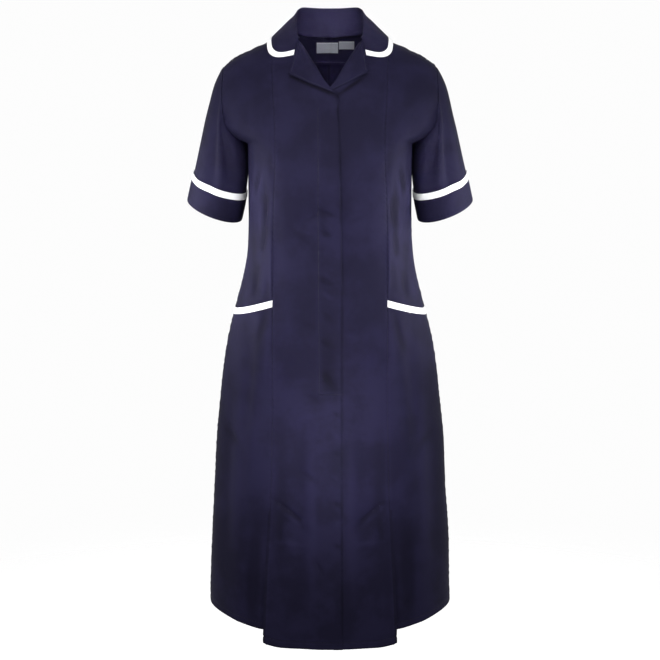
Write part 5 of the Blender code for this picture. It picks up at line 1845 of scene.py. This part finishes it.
# The soft lights: place, aim, size, share of the key's power and width of the beam in degrees.
Lamp = namedtuple("Lamp", "name place aim size share beam")
LAMPS = [
    Lamp("front", (0.0, -2.05, 0.60), (0, 0, -0.33), (0.7, 0.4), 1.00, 160),
    Lamp("high_right", (-0.85, -1.50, 0.15), (0, 0, -0.25), (0.8, 0.6), 0.16, 55),
    Lamp("high_left", (0.95, -1.50, 0.10), (0, 0, -0.25), (0.8, 0.6), 0.13, 55),
    Lamp("back", (0.0, 2.3, 0.10), (0, 0, -0.40), (0.8, 0.6), 0.75, 60),
    Lamp("side_right", (-2.2, 0.50, 0.10), (0, 0, -0.45), (0.6, 0.6), 0.16, 50),
    Lamp("side_left", (2.2, 0.50, 0.10), (0, 0, -0.45), (0.6, 0.6), 0.16, 50),
    Lamp("waist_right", (-1.5, -0.35, -0.75), (-0.13, -0.02, -0.36), (0.3, 0.3), 0.055, 11),
    Lamp("waist_left", (1.5, -0.35, -0.75), (0.13, -0.02, -0.36), (0.3, 0.3), 0.055, 11),
    Lamp("skirt", (0.0, -2.3, -0.45), (0, 0, -0.70), (0.2, 0.2), 0.034, 13),
    Lamp("sleeve_right", (0.40, -2.0, -0.15), (-0.185, -0.02, -0.215), (0.1, 0.1), 0.0022, 4),
    Lamp("sleeve_left", (-0.40, -2.0, -0.15), (0.185, -0.02, -0.215), (0.1, 0.1), 0.0022, 4),
    Lamp("neck", (0.0, -1.35, 1.15), (0.0, 0.05, -0.035), (0.16, 0.16), 0.009, 4),
]


CAMERA_PLACE = (0.0, -3.0, -0.161)
CAMERA_TILT = 83.0  # degrees up from looking straight down
SENSOR_WIDTH = 36.0
FLOOR_RADIUS = 4.5


def area_light(lamp, power):
    light = bpy.data.lights.new(lamp.name, "AREA")
    light.shape = "RECTANGLE"
    light.size, light.size_y = lamp.size
    light.energy = power
    light.spread = math.radians(lamp.beam)
    made = bpy.data.objects.new(lamp.name, light)
    made.location = lamp.place
    made.rotation_euler = (Vector(lamp.aim) - Vector(lamp.place)).to_track_quat("-Z", "Y").to_euler()
    made.visible_camera = False
    bpy.context.scene.collection.objects.link(made)
    return made


def make_stage(stage):
    """Floor, backdrop light, soft studio lights and the camera at the photograph's angle."""
    scene = bpy.context.scene
    bpy.ops.object.select_all(action="DESELECT")
    bpy.ops.mesh.primitive_circle_add(vertices=64, radius=FLOOR_RADIUS, fill_type="NGON")
    floor = bpy.context.object
    floor.name = "floor"
    for corner in floor.data.vertices:
        corner.co.z = stage.floor_height
    floor.data.materials.append(floor_finish(tuple(stage.paper)))
    floor.visible_diffuse = False
    floor.visible_glossy = False

    world = bpy.data.worlds.new("studio")
    world.use_nodes = True
    nodes, links = world.node_tree.nodes, world.node_tree.links
    seen = nodes.new("ShaderNodeLightPath")
    backdrop = nodes.new("ShaderNodeBackground")
    backdrop.inputs["Color"].default_value = (*stage.paper, 1)
    backdrop.inputs["Strength"].default_value = stage.backdrop
    around = nodes["Background"]
    around.inputs["Color"].default_value = (1, 1, 1, 1)
    around.inputs["Strength"].default_value = stage.fill
    both = nodes.new("ShaderNodeMixShader")
    links.new(seen.outputs["Is Camera Ray"], both.inputs[0])
    links.new(around.outputs[0], both.inputs[1])
    links.new(backdrop.outputs[0], both.inputs[2])
    links.new(both.outputs[0], nodes["World Output"].inputs["Surface"])
    scene.world = world
    scene.view_settings.view_transform = "Standard"

    for lamp in LAMPS:
        area_light(lamp, stage.key * lamp.share)

    camera = bpy.data.cameras.new("camera")
    camera.sensor_width = SENSOR_WIDTH
    camera.lens = stage.lens
    made = bpy.data.objects.new("camera", camera)
    made.location = CAMERA_PLACE
    made.rotation_euler = (math.radians(CAMERA_TILT), 0.0, 0.0)
    scene.collection.objects.link(made)
    scene.camera = made


class DressSizes(bpy.types.PropertyGroup):
    cloth: bpy.props.FloatProperty(
        name="Cloth", description="Thickness of the shown cloth", default=0.0006, unit="LENGTH", precision=5)
    hem: bpy.props.FloatProperty(
        name="Hem", description="Depth of the hem's turning", default=0.013, unit="LENGTH", precision=4)
    pucker: bpy.props.FloatProperty(
        name="Pucker", description="Height of the puckers beside a seam", default=0.0004, unit="LENGTH",
        precision=5)
    stitch: bpy.props.FloatProperty(
        name="Stitch", description="Length of one stitch", default=0.0024, unit="LENGTH", precision=5)
    stitch_gap: bpy.props.FloatProperty(
        name="Stitch gap", description="Space between two stitches", default=0.0006, unit="LENGTH",
        precision=5)
    thread: bpy.props.FloatProperty(
        name="Thread", description="Thickness of the thread", default=0.00038, unit="LENGTH", precision=5)


class DressColours(bpy.types.PropertyGroup):
    navy: bpy.props.FloatVectorProperty(
        name="Navy", description="Colour of the main cloth", default=(0.0094, 0.0083, 0.0242), size=3,
        subtype="COLOR", min=0, max=1)
    white: bpy.props.FloatVectorProperty(
        name="White", description="Colour of the tape", default=(0.92, 0.92, 0.93), size=3,
        subtype="COLOR", min=0, max=1)
    label: bpy.props.FloatVectorProperty(
        name="Label", description="Colour of the bare labels", default=(0.19, 0.19, 0.225), size=3,
        subtype="COLOR", min=0, max=1)


class StudioSizes(bpy.types.PropertyGroup):
    floor_height: bpy.props.FloatProperty(
        name="Floor", description="Height of the floor", default=-1.30, unit="LENGTH")
    paper: bpy.props.FloatVectorProperty(
        name="Paper", description="Colour of the floor and the backdrop", default=(0.98, 0.98, 0.98), size=3,
        subtype="COLOR", min=0, max=1)
    backdrop: bpy.props.FloatProperty(
        name="Backdrop", description="Brightness of what the camera sees behind the dress", default=1.0)
    fill: bpy.props.FloatProperty(
        name="Fill", description="Brightness of the light from all round", default=0.46)
    key: bpy.props.FloatProperty(
        name="Key", description="Strength of the main light", default=11.4, unit="POWER")
    lens: bpy.props.FloatProperty(
        name="Lens", description="Focal length of the camera", default=91.527, unit="CAMERA")


class MakeFronts(bpy.types.Operator):
    """Build the two fronts and the fly under the placket"""

    bl_idname = "dress.fronts"
    bl_label = "Fronts"

    def execute(self, context):
        make_fronts(context.scene.dress_sizes, finishes())
        return {"FINISHED"}


class MakeSideFronts(bpy.types.Operator):
    """Build the side panels, the pockets' mouths and their tape"""

    bl_idname = "dress.side_fronts"
    bl_label = "Side fronts and pockets"

    def execute(self, context):
        make_side_fronts(context.scene.dress_sizes, finishes())
        return {"FINISHED"}


class MakeBacks(bpy.types.Operator):
    """Build the back panels"""

    bl_idname = "dress.backs"
    bl_label = "Backs"

    def execute(self, context):
        make_backs(context.scene.dress_sizes, finishes())
        return {"FINISHED"}


class MakePleats(bpy.types.Operator):
    """Build the pleats that fold in under the centre panel"""

    bl_idname = "dress.pleats"
    bl_label = "Kick pleats"

    def execute(self, context):
        make_pleats(context.scene.dress_sizes, finishes())
        return {"FINISHED"}


class MakeLapels(bpy.types.Operator):
    """Build the two revers with the facing that they roll over from"""

    bl_idname = "dress.lapels"
    bl_label = "Revers"

    def execute(self, context):
        make_lapels(finishes())
        return {"FINISHED"}


class MakeCollar(bpy.types.Operator):
    """Build the collar and its tape"""

    bl_idname = "dress.collar"
    bl_label = "Collar"

    def execute(self, context):
        make_collar(finishes())
        return {"FINISHED"}


class MakeSleeves(bpy.types.Operator):
    """Build the sleeves, their cuffs and the tape on them"""

    bl_idname = "dress.sleeves"
    bl_label = "Sleeves and cuffs"

    def execute(self, context):
        make_sleeves(context.scene.dress_sizes, finishes())
        return {"FINISHED"}


class MakeNeckInside(bpy.types.Operator):
    """Build the facing and the bare labels in the neck"""

    bl_idname = "dress.neck_inside"
    bl_label = "Inside of the neck"

    def execute(self, context):
        make_neck_inside(context.scene.dress_sizes, finishes())
        return {"FINISHED"}


class MakeStitches(bpy.types.Operator):
    """Join all the rows of stitches that the pieces have noted"""

    bl_idname = "dress.stitches"
    bl_label = "Stitches"

    def execute(self, context):
        make_stitches(context.scene.dress_sizes, finishes())
        return {"FINISHED"}


class MakeStage(bpy.types.Operator):
    """Build the floor, the lights and the camera"""

    bl_idname = "dress.stage"
    bl_label = "Stage"

    def execute(self, context):
        make_stage(context.scene.dress_studio)
        return {"FINISHED"}


class DressPanel(bpy.types.Panel):
    """Sizes, colours and the steps that build the dress"""

    bl_idname = "VIEW3D_PT_dress"
    bl_label = "Uniform dress"
    bl_space_type = "VIEW_3D"
    bl_region_type = "UI"
    bl_category = "Dress"

    def draw(self, context):
        for group in (context.scene.dress_sizes, context.scene.dress_colours, context.scene.dress_studio):
            box = self.layout.box()
            for name in group.__annotations__:
                box.prop(group, name)
        for step in STEPS:
            self.layout.operator(step.bl_idname)


STEPS = (
    MakeFronts,
    MakeSideFronts,
    MakeBacks,
    MakePleats,
    MakeLapels,
    MakeCollar,
    MakeSleeves,
    MakeNeckInside,
    MakeStitches,
    MakeStage,
)
GROUPS = {"dress_sizes": DressSizes, "dress_colours": DressColours, "dress_studio": StudioSizes}


def register():
    for kind in (*GROUPS.values(), *STEPS, DressPanel):
        bpy.utils.register_class(kind)
    for name, kind in GROUPS.items():
        setattr(bpy.types.Scene, name, bpy.props.PointerProperty(type=kind))


def unregister():
    for name in GROUPS:
        delattr(bpy.types.Scene, name)
    for kind in reversed((*GROUPS.values(), *STEPS, DressPanel)):
        bpy.utils.unregister_class(kind)


def main():
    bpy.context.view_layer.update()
    register()
    bpy.ops.dress.fronts()
    bpy.ops.dress.side_fronts()
    bpy.ops.dress.backs()
    bpy.ops.dress.pleats()
    bpy.ops.dress.lapels()
    bpy.ops.dress.collar()
    bpy.ops.dress.sleeves()
    bpy.ops.dress.neck_inside()
    bpy.ops.dress.stitches()
    bpy.ops.dress.stage()


if __name__ == "__main__":
    main()
